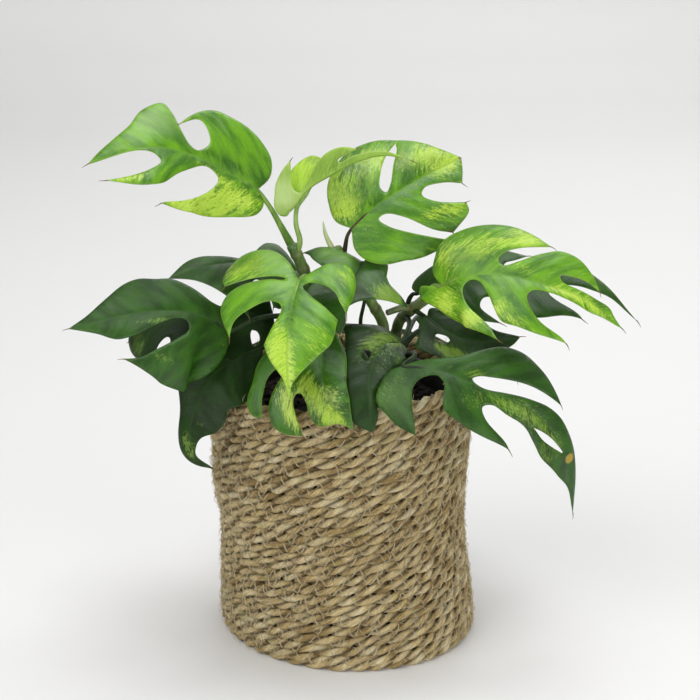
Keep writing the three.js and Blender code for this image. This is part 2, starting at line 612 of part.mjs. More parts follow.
// The bent sheet that carries a blade
class Sheet {
  constructor({ rib, face, left, right }) {
    this.face = face;
    this.halves = { left, right };
    this.points = smoothCurve(rib).getPoints(12 * (rib.length - 1));
    this.distances = [0];
    for (let i = 1; i < this.points.length; i += 1) {
      this.distances.push(this.distances[i - 1] + this.points[i].distanceTo(this.points[i - 1]));
    }
    this.length = this.distances[this.distances.length - 1];
  }

  // Point, direction and share of the length at distance s along the midrib, which runs on past its ends.
  alongRib(s) {
    const inside = Math.min(Math.max(s, 0), this.length);
    let i = 1;
    while (i < this.distances.length - 1 && this.distances[i] < inside) i += 1;
    const part = (inside - this.distances[i - 1]) / (this.distances[i] - this.distances[i - 1]);
    const direction = (k) => {
      const before = this.points[Math.max(k - 1, 0)];
      const after = this.points[Math.min(k + 1, this.points.length - 1)];
      return after.clone().sub(before).normalize();
    };
    const tangent = direction(i - 1).lerp(direction(i), part).normalize();
    const point = this.points[i - 1].clone().lerp(this.points[i], part);
    point.addScaledVector(tangent, s - inside);
    return { point, tangent, share: inside / this.length };
  }

  at(s, t) {
    const { point, tangent, share } = this.alongRib(s);
    const normal = new THREE.Vector3(...this.face[0]).lerp(new THREE.Vector3(...this.face[1]), share);
    normal.addScaledVector(tangent, -normal.dot(tangent)).normalize();
    const side = new THREE.Vector3().crossVectors(normal, tangent);
    const [riseBase, fallBase, riseTip, fallTip] = t >= 0 ? this.halves.left : this.halves.right;
    const rise = THREE.MathUtils.degToRad(riseBase + (riseTip - riseBase) * share);
    const fall = Math.max(THREE.MathUtils.degToRad(fallBase + (fallTip - fallBase) * share) / 10, 1e-5);
    const out = Math.abs(t);
    const across = (Math.sin(rise) - Math.sin(rise - fall * out)) / fall;
    const up = (Math.cos(rise - fall * out) - Math.cos(rise)) / fall;
    return point.addScaledVector(side, Math.sign(t) * across).addScaledVector(normal, up);
  }

  normalAt(s, t) {
    const d = 0.5;
    const along = this.at(s + d, t).sub(this.at(s - d, t));
    const across = this.at(s, t + d).sub(this.at(s, t - d));
    return along.cross(across).normalize();
  }
}

// Points round a closed outline made of strokes. A point that a straight line would miss by less than the
// tolerance is left out.
function ringOf(strokes, tolerance = 0.28) {
  const ring = [];
  let start = strokes[0][0];
  for (const stroke of strokes) {
    const points = stroke[0] === start ? stroke : [start, ...stroke];
    const line = smoothCurve(points).getPoints(BLADE_EDGE_STEPS * (points.length - 1));
    ring.push([line[0].x, line[0].y]);
    let last = line[0];
    for (let i = 1; i < line.length - 1; i += 1) {
      const [p, next] = [line[i], line[i + 1]];
      const run = new THREE.Vector3().subVectors(next, last);
      const off = new THREE.Vector3().subVectors(p, last).cross(run).length() / run.length();
      if (off > tolerance && p.distanceTo(last) > 0.8) {
        ring.push([p.x, p.y]);
        last = p;
      }
    }
    start = points[points.length - 1];
  }
  return ring;
}

const doubleArea = (a, b, c) => (b[0] - a[0]) * (c[1] - a[1]) - (b[1] - a[1]) * (c[0] - a[0]);

function turned(ring, anticlockwise) {
  const area = ring.reduce((sum, p, i) => {
    const q = ring[(i + 1) % ring.length];
    return sum + p[0] * q[1] - q[0] * p[1];
  }, 0);
  return area > 0 === anticlockwise ? ring : [...ring].reverse();
}

function insideRing(ring, [x, y]) {
  let inside = false;
  ring.forEach((a, i) => {
    const b = ring[(i + 1) % ring.length];
    const spans = a[1] > y !== b[1] > y;
    if (spans && x < a[0] + ((y - a[1]) * (b[0] - a[0])) / (b[1] - a[1])) inside = !inside;
  });
  return inside;
}

function distanceToRing(ring, [x, y]) {
  return Math.min(...ring.map((a, i) => {
    const b = ring[(i + 1) % ring.length];
    const [dx, dy] = [b[0] - a[0], b[1] - a[1]];
    const share = ((x - a[0]) * dx + (y - a[1]) * dy) / (dx * dx + dy * dy);
    const k = Math.min(1, Math.max(0, share));
    return Math.hypot(x - a[0] - k * dx, y - a[1] - k * dy);
  }));
}

// Points on a triangular grid with one row on the midrib, inside the outline and clear of its edge
function gridInside(outer, holes) {
  const rowStep = BLADE_GRID * Math.sqrt(0.75);
  const points = [];
  const rows = Math.ceil(70 / rowStep);
  for (let row = -rows; row <= rows; row += 1) {
    const shift = row % 2 === 0 ? 0 : BLADE_GRID / 2;
    for (let s = -40 + shift; s < 150; s += BLADE_GRID) {
      const p = [s, row * rowStep];
      const clear = row === 0 ? 1.6 : 0.42 * BLADE_GRID;
      const wanted = insideRing(outer, p) && !holes.some((hole) => insideRing(hole, p));
      if (wanted && [outer, ...holes].every((ring) => distanceToRing(ring, p) > clear)) points.push(p);
    }
  }
  return points;
}

function addPoint(triangles, points, index) {
  const p = points[index];
  const at = triangles.findIndex(([a, b, c]) => (
    doubleArea(points[a], points[b], p) > 1e-6
    && doubleArea(points[b], points[c], p) > 1e-6
    && doubleArea(points[c], points[a], p) > 1e-6
  ));
  if (at < 0) return;
  const [a, b, c] = triangles[at];
  triangles.splice(at, 1, [a, b, index], [b, c, index], [c, a, index]);
}

function inCircle(a, b, c, d) {
  const [ax, ay] = [a[0] - d[0], a[1] - d[1]];
  const [bx, by] = [b[0] - d[0], b[1] - d[1]];
  const [cx, cy] = [c[0] - d[0], c[1] - d[1]];
  const determinant = (ax * ax + ay * ay) * (bx * cy - cx * by)
    - (bx * bx + by * by) * (ax * cy - cx * ay)
    + (cx * cx + cy * cy) * (ax * by - bx * ay);
  return determinant > 1e-6;
}

// Flips inner edges where a triangle's circle holds its neighbour's far corner. Returns whether any was.
function flipOnce(triangles, points) {
  const owners = new Map();
  triangles.forEach((triangle, i) => {
    for (let k = 0; k < 3; k += 1) {
      const [a, b, apex] = [triangle[k], triangle[(k + 1) % 3], triangle[(k + 2) % 3]];
      owners.set(`${a} ${b}`, [i, apex]);
    }
  });
  const touched = new Set();
  for (const [edge, [i, apex]] of owners) {
    const [a, b] = edge.split(' ').map(Number);
    const twin = owners.get(`${b} ${a}`);
    if (twin && !touched.has(i) && !touched.has(twin[0])) {
      const [j, far] = twin;
      const convex = doubleArea(points[apex], points[a], points[far]) > 1e-6
        && doubleArea(points[far], points[b], points[apex]) > 1e-6;
      if (convex && inCircle(points[a], points[b], points[apex], points[far])) {
        triangles[i] = [apex, a, far];
        triangles[j] = [far, b, apex];
        touched.add(i).add(j);
      }
    }
  }
  return touched.size > 0;
}

function triangulate(outer, holes) {
  const flat = (ring) => ring.map(([x, y]) => new THREE.Vector2(x, y));
  const ears = THREE.ShapeUtils.triangulateShape(flat(outer), holes.map(flat));
  const border = [outer, ...holes].flat();
  const points = [...border, ...gridInside(outer, holes)];
  const facesUp = ([a, b, c]) => doubleArea(points[a], points[b], points[c]) > 0;
  const triangles = ears.map((ear) => (facesUp(ear) ? [...ear] : [ear[0], ear[2], ear[1]]));
  for (let i = border.length; i < points.length; i += 1) addPoint(triangles, points, i);
  for (let pass = 0; pass < 60 && flipOnce(triangles, points); pass += 1);
  return { points, triangles };
}

function outlineOf(leaf) {
  if (!leaf.like) return { strokes: leaf.outline, holes: leaf.holes ?? [] };
  const { leaf: other, scale, mirrored } = leaf.like;
  const place = ([s, t]) => [s * scale, t * scale * (mirrored ? -1 : 1)];
  const model = outlineOf(LEAVES[other]);
  return {
    strokes: model.strokes.map((stroke) => stroke.map(place)),
    holes: model.holes.map((hole) => hole.map(place)),
  };
}

// Both faces of the blade carry the same triangles, and a narrow wall joins them along every edge.
function bladeSolid(leaf) {
  const { strokes, holes } = outlineOf(leaf);
  const outer = turned(ringOf(strokes), true);
  const inner = holes.map((hole) => turned(ringOf([[...hole, hole[0]]]), false));
  const { points, triangles } = triangulate(outer, inner);
  const sheet = new Sheet(leaf);
  const vertices = [];
  for (const face of [0.5, -0.5]) {
    for (const [s, t] of points) {
      vertices.push(...sheet.at(s, t).addScaledVector(sheet.normalAt(s, t), face * BLADE).toArray());
    }
  }
  const count = points.length;
  const index = [];
  for (const [a, b, c] of triangles) index.push(a, b, c, c + count, b + count, a + count);
  let first = 0;
  for (const ring of [outer, ...inner]) {
    ring.forEach((_, k) => {
      const a = first + k;
      const b = first + ((k + 1) % ring.length);
      index.push(a + count, b + count, b, a + count, b, a);
    });
    first += ring.length;
  }
  const geometry = new THREE.BufferGeometry();
  geometry.setAttribute('position', new THREE.Float32BufferAttribute(vertices, 3));
  geometry.setIndex(index);
  return solidOf(geometry);
}

// The petiole joins the blade from below and runs on a little way under the midrib.
function petioleSolid(leaf) {
  const sheet = new Sheet(leaf);
  const [start, end] = leaf.petiole.radii;
  const under = (s) => sheet.alongRib(s).point.addScaledVector(sheet.normalAt(s, 0), -0.7 * end).toArray();
  const path = [...leaf.petiole.path.slice(0, -1), under(0), under(PETIOLE_REACH)];
  return tube(path, start, PETIOLE_SIDES, 2, end / start);
}

function leafMeshes() {
  const grownStems = Object.values(STEMS).map((stem) => stemSolid(stem, CLEARANCE));
  return Object.entries(LEAVES).map(([name, leaf]) => {
    let solid = bladeSolid(leaf).add(petioleSolid(leaf));
    for (const stem of grownStems) solid = solid.subtract(stem);
    return namedMesh(name, solid, finish(COLOUR[leaf.tone], 0.4));
  });
}

const plant = new THREE.Group();
plant.add(basket());
plant.add(nurseryPot());
plant.add(pottingSoil(Object.values(STEMS)));
plant.add(...stems());
plant.add(shootTip());
plant.add(...leafMeshes());

export default plant;
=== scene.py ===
# The look of a potted mint Rhaphidophora tetrasperma in a rope basket. Lengths in the tables are in
# millimetres, in the part's own frame; meshes are made in metres. Text such as "1,2 3,4" lists points.
import math

import bpy
import numpy as np
from mathutils.geometry import delaunay_2d_cdt
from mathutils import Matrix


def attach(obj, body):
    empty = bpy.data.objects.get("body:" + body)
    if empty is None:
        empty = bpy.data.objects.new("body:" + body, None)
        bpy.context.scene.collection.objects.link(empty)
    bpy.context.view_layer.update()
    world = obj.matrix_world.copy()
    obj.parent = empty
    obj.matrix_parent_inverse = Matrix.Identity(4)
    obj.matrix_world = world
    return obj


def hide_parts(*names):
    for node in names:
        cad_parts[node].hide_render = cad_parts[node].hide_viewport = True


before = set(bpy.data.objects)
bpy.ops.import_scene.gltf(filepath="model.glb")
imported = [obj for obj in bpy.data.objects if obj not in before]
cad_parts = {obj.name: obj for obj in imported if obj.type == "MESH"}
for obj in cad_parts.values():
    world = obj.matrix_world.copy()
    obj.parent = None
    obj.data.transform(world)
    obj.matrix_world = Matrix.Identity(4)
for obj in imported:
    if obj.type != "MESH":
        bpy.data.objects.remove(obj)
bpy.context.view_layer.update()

MM = 0.001
SEED = 7


def listed(text):
    """The tuples of numbers that a text lists."""
    return [tuple(float(number) for number in item.split(",")) for item in text.split()]


# Camera, light and floor, in metres

CAMERA_PLACE, CAMERA_TILT = (0.0043, -1.0, 0.492), 71.5
LENS, SENSOR = 100, 36
WARM, COOL, NEUTRAL = (1.0, 0.985, 0.96), (0.98, 0.99, 1.0), (1.0, 0.99, 0.98)
LIGHTS = [  # name, place, aim, size, watts, colour
    ("window", (-1.1, -1.0, 1.5), (0, 0, 0.16), (1.5, 1.3), 19.5, WARM),
    ("ceiling", (0.1, 0.1, 1.5), (0, 0, 0.1), (0.7, 0.6), 10, COOL),
    ("fill", (1.4, -1.3, 0.6), (0, 0, 0.1), (1.4, 1.2), 11, WARM),
    ("front", (0.25, -1.7, 0.35), (0, 0, 0.08), (1.6, 0.5), 8, WARM),
    ("back", (0.5, 1.3, 1.0), (0, 0, 0.15), (1.3, 0.9), 7, NEUTRAL),
]
WORLD_COLOUR, WORLD_STRENGTH = (0.83, 0.835, 0.84, 1), 0.34
# y and height of the rows of a pale table that turns up into a pale wall
FLOOR_ROWS = [(-3.0, 0.0), (1.3, 0.0), (1.42, 0.012), (1.52, 0.05), (1.58, 0.12), (1.6, 0.22), (1.6, 3.0)]
FLOOR_HALF_WIDTH, FLOOR_COLOUR = 4.0, (0.765, 0.765, 0.765)


def link_object(name, data):
    item = bpy.data.objects.new(name, data)
    bpy.context.scene.collection.objects.link(item)
    return item


def add_camera():
    data = bpy.data.cameras.new("camera")
    data.lens, data.sensor_width = LENS, SENSOR
    data.clip_start, data.clip_end = 0.05, 20
    camera = link_object("camera", data)
    camera.location = CAMERA_PLACE
    camera.rotation_euler = (math.radians(CAMERA_TILT), 0, 0)
    bpy.context.scene.camera = camera


def add_area_light(name, place, aim, size, watts, colour):
    data = bpy.data.lights.new(name, "AREA")
    data.shape = "RECTANGLE"
    data.size, data.size_y = size
    data.energy, data.color = watts, colour
    light = link_object(name, data)
    light.visible_camera = False
    light.location = place
    x, y, z = np.array(aim) - np.array(place)
    light.rotation_euler = (math.pi / 2 + math.atan2(z, math.hypot(x, y)), 0, math.atan2(y, x) - math.pi / 2)


def add_stage():
    for light in LIGHTS:
        add_area_light(*light)
    world = bpy.data.worlds.new("studio")
    world.use_nodes = True
    background = world.node_tree.nodes["Background"]
    background.inputs["Color"].default_value = WORLD_COLOUR
    background.inputs["Strength"].default_value = WORLD_STRENGTH
    bpy.context.scene.world = world
    bpy.context.scene.view_settings.view_transform = "Standard"
    mesh = bpy.data.meshes.new("floor")
    vertices = [(x, y, z) for y, z in FLOOR_ROWS for x in (-FLOOR_HALF_WIDTH, FLOOR_HALF_WIDTH)]
    faces = [(2 * i, 2 * i + 1, 2 * i + 3, 2 * i + 2) for i in range(len(FLOOR_ROWS) - 1)]
    mesh.from_pydata(vertices, [], faces)
    mesh.shade_smooth()
    floor = link_object("floor", mesh)
    mesh.materials.append(Paint("floor_paint", FLOOR_COLOUR, 0.6).material)


class Paint:
    """A material, with short ways to add and join its shader nodes."""

    def __init__(self, name, colour, roughness, **inputs):
        self.material = bpy.data.materials.new(name)
        self.material.use_nodes = True
        self.tree = self.material.node_tree
        self.set(Base_Color=colour, Roughness=roughness, **inputs)

    def set(self, **inputs):
        """Sets or links the main shader's inputs; _ stands for a space."""
        shader = self.tree.nodes["Principled BSDF"]
        self.fill(shader, {key.replace("_", " "): value for key, value in inputs.items()})

    def fill(self, node, inputs):
        for key, value in inputs.items():
            socket = node.inputs[key]
            if isinstance(value, bpy.types.NodeSocket):
                self.tree.links.new(value, socket)
            else:
                socket.default_value = (*value, 1) if socket.type == "RGBA" else value

    def add(self, kind, inputs, output=0, **settings):
        """Adds a node, sets its inputs by name or number and returns one of its outputs."""
        node = self.tree.nodes.new(f"ShaderNode{kind}")
        for key, value in settings.items():
            setattr(node, key, value)
        self.fill(node, inputs)
        return node.outputs[output]

    def place(self):
        return self.add("TexCoord", {}, "Object")

    def attribute(self, name, output="Fac"):
        return self.add("Attribute", {}, output, attribute_name=name)

    def math(self, operation, a, b):
        return self.add("Math", {0: a, 1: b}, operation=operation)

    def sum(self, *terms):
        """Adds up (value, weight) terms."""
        total = None
        for value, weight in terms:
            term = self.math("MULTIPLY", value, weight)
            total = term if total is None else self.math("ADD", total, term)
        return total

    def noise(self, vector, scale, detail=3.0, roughness=0.55, distortion=0.0):
        """Noise of one scale, or of one scale for each axis."""
        if isinstance(scale, tuple):
            vector, scale = self.add("Mapping", {"Vector": vector, "Scale": scale}), 1.0
        return self.add("TexNoise", {"Vector": vector, "Scale": scale, "Detail": detail,
                                     "Roughness": roughness, "Distortion": distortion})

    def ramp(self, value, low, high, start=0.0, end=1.0):
        """start below low, end above high, smooth between."""
        return self.add("MapRange", {0: value, 1: low, 2: high, 3: start, 4: end},
                        interpolation_type="SMOOTHSTEP")

    def mix(self, share, a, b):
        return self.add("Mix", {0: share, 6: a, 7: b}, 2, data_type="RGBA")

    def layers(self, colour, *layers):
        """Lays (share, strength, paint) layers over a colour."""
        for share, strength, paint in layers:
            colour = self.mix(self.math("MULTIPLY", share, strength), colour, paint)
        return colour

    def bump(self, height, distance, strength=1.0):
        return self.add("Bump", {"Height": height, "Distance": distance, "Strength": strength})


# Mesh helpers. A shape is a pair of vertices and faces.

def make_piece(name, shape, materials, node, face_slots=None, attributes=None):
    """A smooth piece that rides on the root. attributes maps a name to one number or vector a vertex."""
    vertices, faces = shape
    mesh = bpy.data.meshes.new(name)
    mesh.from_pydata((np.asarray(vertices) * MM).tolist(), [], [tuple(f) for f in faces])
    for material in materials:
        mesh.materials.append(material)
    if face_slots is not None:
        mesh.polygons.foreach_set("material_index", np.asarray(face_slots, np.int32))
    for key, values in (attributes or {}).items():
        values = np.asarray(values, np.float32)
        kind, field = ("FLOAT", "value") if values.ndim == 1 else ("FLOAT_VECTOR", "vector")
        mesh.attributes.new(key, kind, "POINT").data.foreach_set(field, values.ravel())
    mesh.shade_smooth()
    mesh.update()
    piece = link_object(name, mesh)
    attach(piece, "root")
    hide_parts(node)


def catmull_rom(points, steps):
    """Centripetal curve through the points with this many steps a span, ends included."""
    P = np.array([[*point, 0][:3] for point in points], float)
    P = np.vstack([2 * P[0] - P[1], P, 2 * P[-1] - P[-2]])
    gaps = np.linalg.norm(np.diff(P, axis=0), axis=1)[:, None] ** 0.5
    slopes = np.diff(P, axis=0) / gaps
    tangents = slopes[:-1] - (P[2:] - P[:-2]) / (gaps[:-1] + gaps[1:]) + slopes[1:]
    t = np.arange(steps)[:, None] / steps
    out = []
    for a, b, gap, *ends in zip(P[1:], P[2:-1], gaps[1:], tangents, tangents[1:]):
        m, n = (end * gap for end in ends)
        out.append(a + m * t + (3 * (b - a) - 2 * m - n) * t ** 2 + (2 * (a - b) + m + n) * t ** 3)
    return np.vstack([*out, P[-2]])


def unit(vectors):
    return vectors / np.linalg.norm(vectors, axis=-1)[..., None]


def frames_along(path):
    """Unit direction, side and up at each point of a line, turning as little as possible."""
    T = unit(np.gradient(path, axis=0))
    side = np.cross(T[0], (0, 0, 1.0))
    if np.linalg.norm(side) < 0.2:
        side = np.cross(T[0], (0, 1.0, 0))
    sides = []
    for t in T:
        side = unit(side - t * (side @ t))
        sides.append(side)
    return T, np.array(sides), np.cross(T, sides)


def around(sides):
    """The angles of a ring of points."""
    return np.arange(sides) * 2 * math.pi / sides


def polar(radius, angle, z):
    """Points at a radius, angle and height about Z."""
    return np.stack(np.broadcast_arrays(radius * np.cos(angle), radius * np.sin(angle), z), -1)


def grid_faces(rows, sides, closed=False):
    """Quads between rings of points; closed also joins the last ring to the first."""
    faces = []
    for i in range(rows if closed else rows - 1):
        a, b = i * sides, (i + 1) % rows * sides
        faces += [(a + j, a + (j + 1) % sides, b + (j + 1) % sides, b + j) for j in range(sides)]
    return faces


def tube_faces(rows, sides):
    """Quads between the rings of a tube, and a face over each end."""
    last = (rows - 1) * sides
    return [*grid_faces(rows, sides), range(sides)[::-1], range(last, last + sides)]


def tube(path, radii, sides):
    """A tube along a line, closed at both ends with a low dome."""
    path = np.asarray(path, float)
    radii = np.broadcast_to(np.asarray(radii, float), (len(path),))
    T, S, U = frames_along(path)
    path = np.vstack([path[:1] - T[:1] * radii[0] * 0.35, path, path[-1:] + T[-1:] * radii[-1] * 0.35])
    radii = np.concatenate([[radii[0] * 0.55], radii, [radii[-1] * 0.55]])
    S, U = (np.vstack([A[:1], A, A[-1:]])[:, None] for A in (S, U))
    angles = around(sides)[None, :, None]
    ring = np.cos(angles) * S + np.sin(angles) * U
    return (path[:, None] + ring * radii[:, None, None]).reshape(-1, 3), tube_faces(len(path), sides)


def join(shapes):
    vertices, faces, first = [], [], 0
    for v, f in shapes:
        vertices.append(np.asarray(v, float))
        faces += [tuple(i + first for i in face) for face in f]
        first += len(v)
    return np.vstack(vertices), faces


def smooth(x, low, high):
    t = np.clip((np.asarray(x, float) - low) / (high - low), 0, 1)
    return t * t * (3 - 2 * t)


def bell(x, width):
    return np.exp(-((x / width) ** 2))


def wander(x, seed, scale):
    """A smooth wandering value of about -1 to 1 along x."""
    rng = np.random.default_rng(seed)
    x = np.asarray(x, float) / scale
    total = np.zeros_like(x)
    for _ in range(5):
        total += rng.uniform(0.4, 1.0) * np.sin(x * rng.uniform(0.5, 2.6) + rng.uniform(0, 6.28))
    return total / 2.2


# Basket of coiled jute rope

BASKET_HEIGHT, ROPE_ROWS = 147, 26
ROW = BASKET_HEIGHT / ROPE_ROWS
LOWER_ROWS = 12  # climbed by the lower half of the wall
BASKET_LEVELS = listed("0,70.3 10,70.3 30,69 50,67.8 70,67.3 93,68.8 108,70.2 147,70.6")
RIM_RADIUS, RIM_SLOPE, RIM_BACK_DROP = 70.6, 3.2, 2.6
FOOT_COIL = 68.2  # outer radius of the coil under the basket
ROPE_RADIUS = 3.05
ROPE_PITCH = 21  # length in which a strand goes once round the rope
ROPE_STEP, COIL_STEP = 1.5, 1.7
STRANDS = 2
STRAND_SHAPE = np.array([0.46, 0.72, 0.94, 1.07, 1.12, 1.07, 0.94, 0.72])
# How strongly painted shade darkens each point round a strand, most in the valleys between strands
STRAND_VALLEY_SHADE = np.array([1.0, 0.6, 0.15, 0, 0, 0, 0.15, 0.6])
FIBRES = 5600
STITCH_PROUD = np.array([-0.75, 0.28, 0.42, 0.28, -0.75])


def out_of_round(angle):
    return 3 * np.cos(angle + 0.61) + 2.2 * np.cos(2 * angle + 1.4)


def basket_surface(angle, z):
    """Radius to the rope's crest and height, by the same rules as the basket's solid."""
    heights, radii = zip(*BASKET_LEVELS)
    radius = np.interp(z, heights, radii)
    low = bell(z, 38) * out_of_round(angle)
    left = smooth(z, 67, 77) * (1 - 0.5 * smooth(z, 92, 108))
    high = 2.7 * left * np.maximum(0, -np.cos(angle)) ** 2
    radius = radius + low + high
    drop = RIM_BACK_DROP * (np.maximum(0, np.sin(angle)) * radius / RIM_RADIUS) ** 2
    lift = (RIM_SLOPE * radius * np.cos(angle) / RIM_RADIUS - drop) * (z / BASKET_HEIGHT) ** 2
    return radius, z + lift


def wall_point(angle, z, proud):
    radius, height = basket_surface(angle, z)
    return polar(radius + proud, angle, height)


def rope_line(turns, first_row, climb=1):
    """Points of a rope's middle round the wall, and the direction that the wall faces at each."""
    count = int(turns * 2 * math.pi * 69 / ROPE_STEP)
    angle = np.linspace(0, turns * 2 * math.pi, count) + math.pi / 2
    rows = first_row + climb * (angle - math.pi / 2) / (2 * math.pi)
    return wall_point(angle, 0.5 * ROW + ROW * rows, 0.1 - ROPE_RADIUS), polar(1.0, angle, 0.0)


def rope(points, out, seed, taper=0):
    """A rope of twisted strands, with what its material needs. Its vertices follow the strands, so that
    the valleys stay sharp."""
    rng = np.random.default_rng(seed)
    along = np.concatenate([[0], np.cumsum(np.linalg.norm(np.diff(points, axis=0), axis=1))])
    T = unit(np.gradient(points, axis=0))
    out = unit(out - T * np.sum(out * T, 1)[:, None])
    up = np.cross(out, T)
    twist = 2 * math.pi * (along + 3.2 * wander(along, seed + 1, 15)) / ROPE_PITCH
    sides = STRANDS * len(STRAND_SHAPE)
    size = (len(points), sides)
    angles = twist[:, None] + around(sides)
    strand = np.arange(sides) // len(STRAND_SHAPE)
    profile = np.broadcast_to(np.tile(STRAND_SHAPE, STRANDS), size).copy()
    tone = np.zeros(size)
    for k in range(STRANDS):
        swell = 1 + 0.09 * wander(along, seed + 10 + k, 7) + 0.05 * wander(along, seed + 20 + k, 2.2)
        profile[:, strand == k] *= swell[:, None]
        tone[:, strand == k] = wander(along, seed + 30 + k, 7)[:, None]
    rough = rng.normal(0, 0.03, size)
    rough = (rough + np.roll(rough, 1, 0) + np.roll(rough, -1, 0)) / 1.7
    radius = ROPE_RADIUS * (profile + rough)
    if taper:
        radius *= (0.35 + 0.65 * smooth(along, 0, taper))[:, None]
    ring = (np.cos(angles) * radius * 0.98)[..., None] * out[:, None]
    ring = ring + (np.sin(angles) * radius * 0.97)[..., None] * up[:, None]
    vertices = (points[:, None] + ring).reshape(-1, 3)
    vertices[:, 2] = np.maximum(vertices[:, 2], 0.02)  # above the floor
    # Along the strand, round it, and a place of its own for each rope
    crest = (np.tile(np.arange(len(STRAND_SHAPE)), STRANDS) - 4) / len(STRAND_SHAPE)
    lay = np.stack(np.broadcast_arrays(along[:, None], crest * 6 + strand * 40, seed * 3.1), -1)
    # painted shade, deepest in the valleys between the strands
    valley_shade = np.broadcast_to(np.tile(STRAND_VALLEY_SHADE, STRANDS), size)
    return (vertices, tube_faces(*size)), lay.reshape(-1, 3), tone.ravel(), valley_shade.ravel()


def jute_material(name):
    n = Paint(name, (0.36, 0.28, 0.16), 0.9, Specular_IOR_Level=0.22, Sheen_Weight=0.08, Sheen_Roughness=0.5)
    lay = n.attribute("lay", "Vector")
    fibres = n.noise(lay, (0.22, 1.6, 1), 4, 0.65)
    fine = n.noise(lay, (0.9, 3.4, 1), 3, 0.6)
    frayed = n.noise(lay, (1.5, 2.0, 1), 4, 0.75, 1.2)
    cloud = n.noise(n.place(), (28, 28, 46), 2)
    light = n.sum((n.attribute("tone"), 0.22), (fibres, 1.1), (n.math("SUBTRACT", frayed, 0.5), 0.9),
                  (cloud, 0.55))
    straw = n.ramp(n.noise(lay, (0.05, 0.02, 1), 2), 0.60, 0.72)
    pink = n.ramp(n.noise(lay, (0.045, 0.025, 1.7), 2), 0.63, 0.74)
    colour = n.layers(
        n.mix(n.ramp(light, 0.56, 0.92), (0.33, 0.220, 0.078), (0.74, 0.575, 0.270)),
        (n.ramp(light, 0.84, 1.16), 1, (0.92, 0.82, 0.54)),
        (straw, 0.55, (0.56, 0.52, 0.20)),
        (pink, 0.6, (0.50, 0.32, 0.22)),
        # painted shade: dark brown in the valleys between the strands
        (n.attribute("valley_shade"), 0.72, (0.075, 0.044, 0.014)),
    )
    n.set(Base_Color=colour, Normal=n.bump(n.sum((fibres, 0.6), (fine, 0.45), (frayed, 0.8)), 0.0015))
    return n.material


def thread_material():
    n = Paint("jute_thread", (0.46, 0.38, 0.25), 0.8)
    place = n.place()
    n.set(Base_Color=n.mix(n.noise(place, 220, 2), (0.36, 0.29, 0.15), (0.72, 0.63, 0.42)),
          Normal=n.bump(n.noise(place, 2400, 2), 0.0002))
    return n.material


def foot_coil():
    """Points of the rope's middle in the coil under the basket, and the direction down at each."""
    length = math.pi * FOOT_COIL ** 2 / ROW
    arc = np.linspace(0, length, int(length / COIL_STEP))
    radius = np.sqrt(arc * ROW / math.pi) + 0.6
    angle = 2 * math.pi * radius / ROW
    bent = np.minimum(radius, FOOT_COIL - 3.2) + out_of_round(angle) * (radius / FOOT_COIL) ** 3
    return polar(bent, angle, 3.1), np.tile((0.0, 0.0, -1.0), (len(angle), 1))


def add_basket():
    jute = jute_material("jute_rope")
    climbs = ROPE_ROWS - 1
    pieces = {
        "basket_base": [(*foot_coil(), 3, 12)],
        "basket_wall_lower": [(*rope_line(1.0, 0, 0), 11), (*rope_line(LOWER_ROWS, 0), 17)],
        "basket_wall_upper": [(*rope_line(climbs - LOWER_ROWS, LOWER_ROWS), 23),
                              (*rope_line(1.0, climbs, 0), 29)],
    }
    for name, lines in pieces.items():
        shapes, *values = zip(*[rope(*line) for line in lines])
        attributes = {key: np.concatenate(value) for key, value in zip(("lay", "tone", "valley_shade"), values)}
        make_piece(name, join(shapes), [jute], "basket", attributes=attributes)
    add_stitches()
    add_fibres()


def add_stitches():
    """The sewing thread: a zigzag over each pair of rows, half hidden in the rope."""
    rng = np.random.default_rng(SEED + 1)
    threads = []
    for row in range(ROPE_ROWS - 1):
        angle, side = rng.uniform(0, 0.1), 1
        while angle < 2 * math.pi:
            step = rng.uniform(0.038, 0.062)
            if rng.uniform() < 0.62:
                end = angle + step * rng.uniform(0.7, 1.0)
                reach = side * ROW * rng.uniform(0.36, 0.52)
                share = np.linspace(0, 1, len(STITCH_PROUD))
                z = (row + 1) * ROW - reach + 2 * reach * share
                proud = STITCH_PROUD + rng.uniform(-0.15, 0.15)
                line = wall_point(angle + (end - angle) * share, z, proud)
                threads.append(tube(line, rng.uniform(0.18, 0.28), 4))
            angle += step
            side = -side
    make_piece("basket_stitches", join(threads), [thread_material()], "basket")


def add_fibres():
    """Loose fibres that stand off the rope."""
    rng = np.random.default_rng(SEED + 2)
    fibres = []
    share = np.linspace(0, 1, 4)
    for _ in range(FIBRES):
        angle = rng.uniform(0, 2 * math.pi)
        z = rng.uniform(1.5, BASKET_HEIGHT + 1)
        length = rng.uniform(1.8, 7)
        heading = rng.uniform(-1.3, 1.5)
        angles = angle + length * math.cos(heading) * share / 70
        heights = np.maximum(z + length * math.sin(heading) * share, 0.6)
        stand = rng.uniform(0.3, 2.2)
        arch = np.sin(math.pi * np.minimum(share * rng.uniform(0.5, 1.0), 1))
        line = wall_point(angles, heights, -0.5 + stand * arch + 0.3 * share)
        fibres.append(tube(line, rng.uniform(0.07, 0.13), 3))
    make_piece("basket_fibres", join(fibres), [thread_material()], "basket")


# Nursery pot and soil

CLEARANCE = 0.3
POT_BASE, POT_HEIGHT, POT_WALL = 6.3, 133, 1.4
POT_FOOT_RADIUS, POT_TOP_RADIUS = 46, 57.5
POT_RIM_WIDTH, POT_RIM_DEPTH = 2.2, 9
DRAIN_RADIUS = 3.0  # one hole in the middle, under the soil
SOIL_TOP, SOIL_CROWN, SOIL_RADIUS = 128, 4, 56
SOIL_RINGS, LATHE_SIDES = 30, 96
CRUMB_FACES = "0b5 051 017 07a 0ab 159 5b4 ba2 a76 718 394 342 326 368 389 495 24b 62a 867 981"


def pot_outer(z):
    return POT_FOOT_RADIUS + (POT_TOP_RADIUS - POT_FOOT_RADIUS) * (z - POT_BASE) / POT_HEIGHT


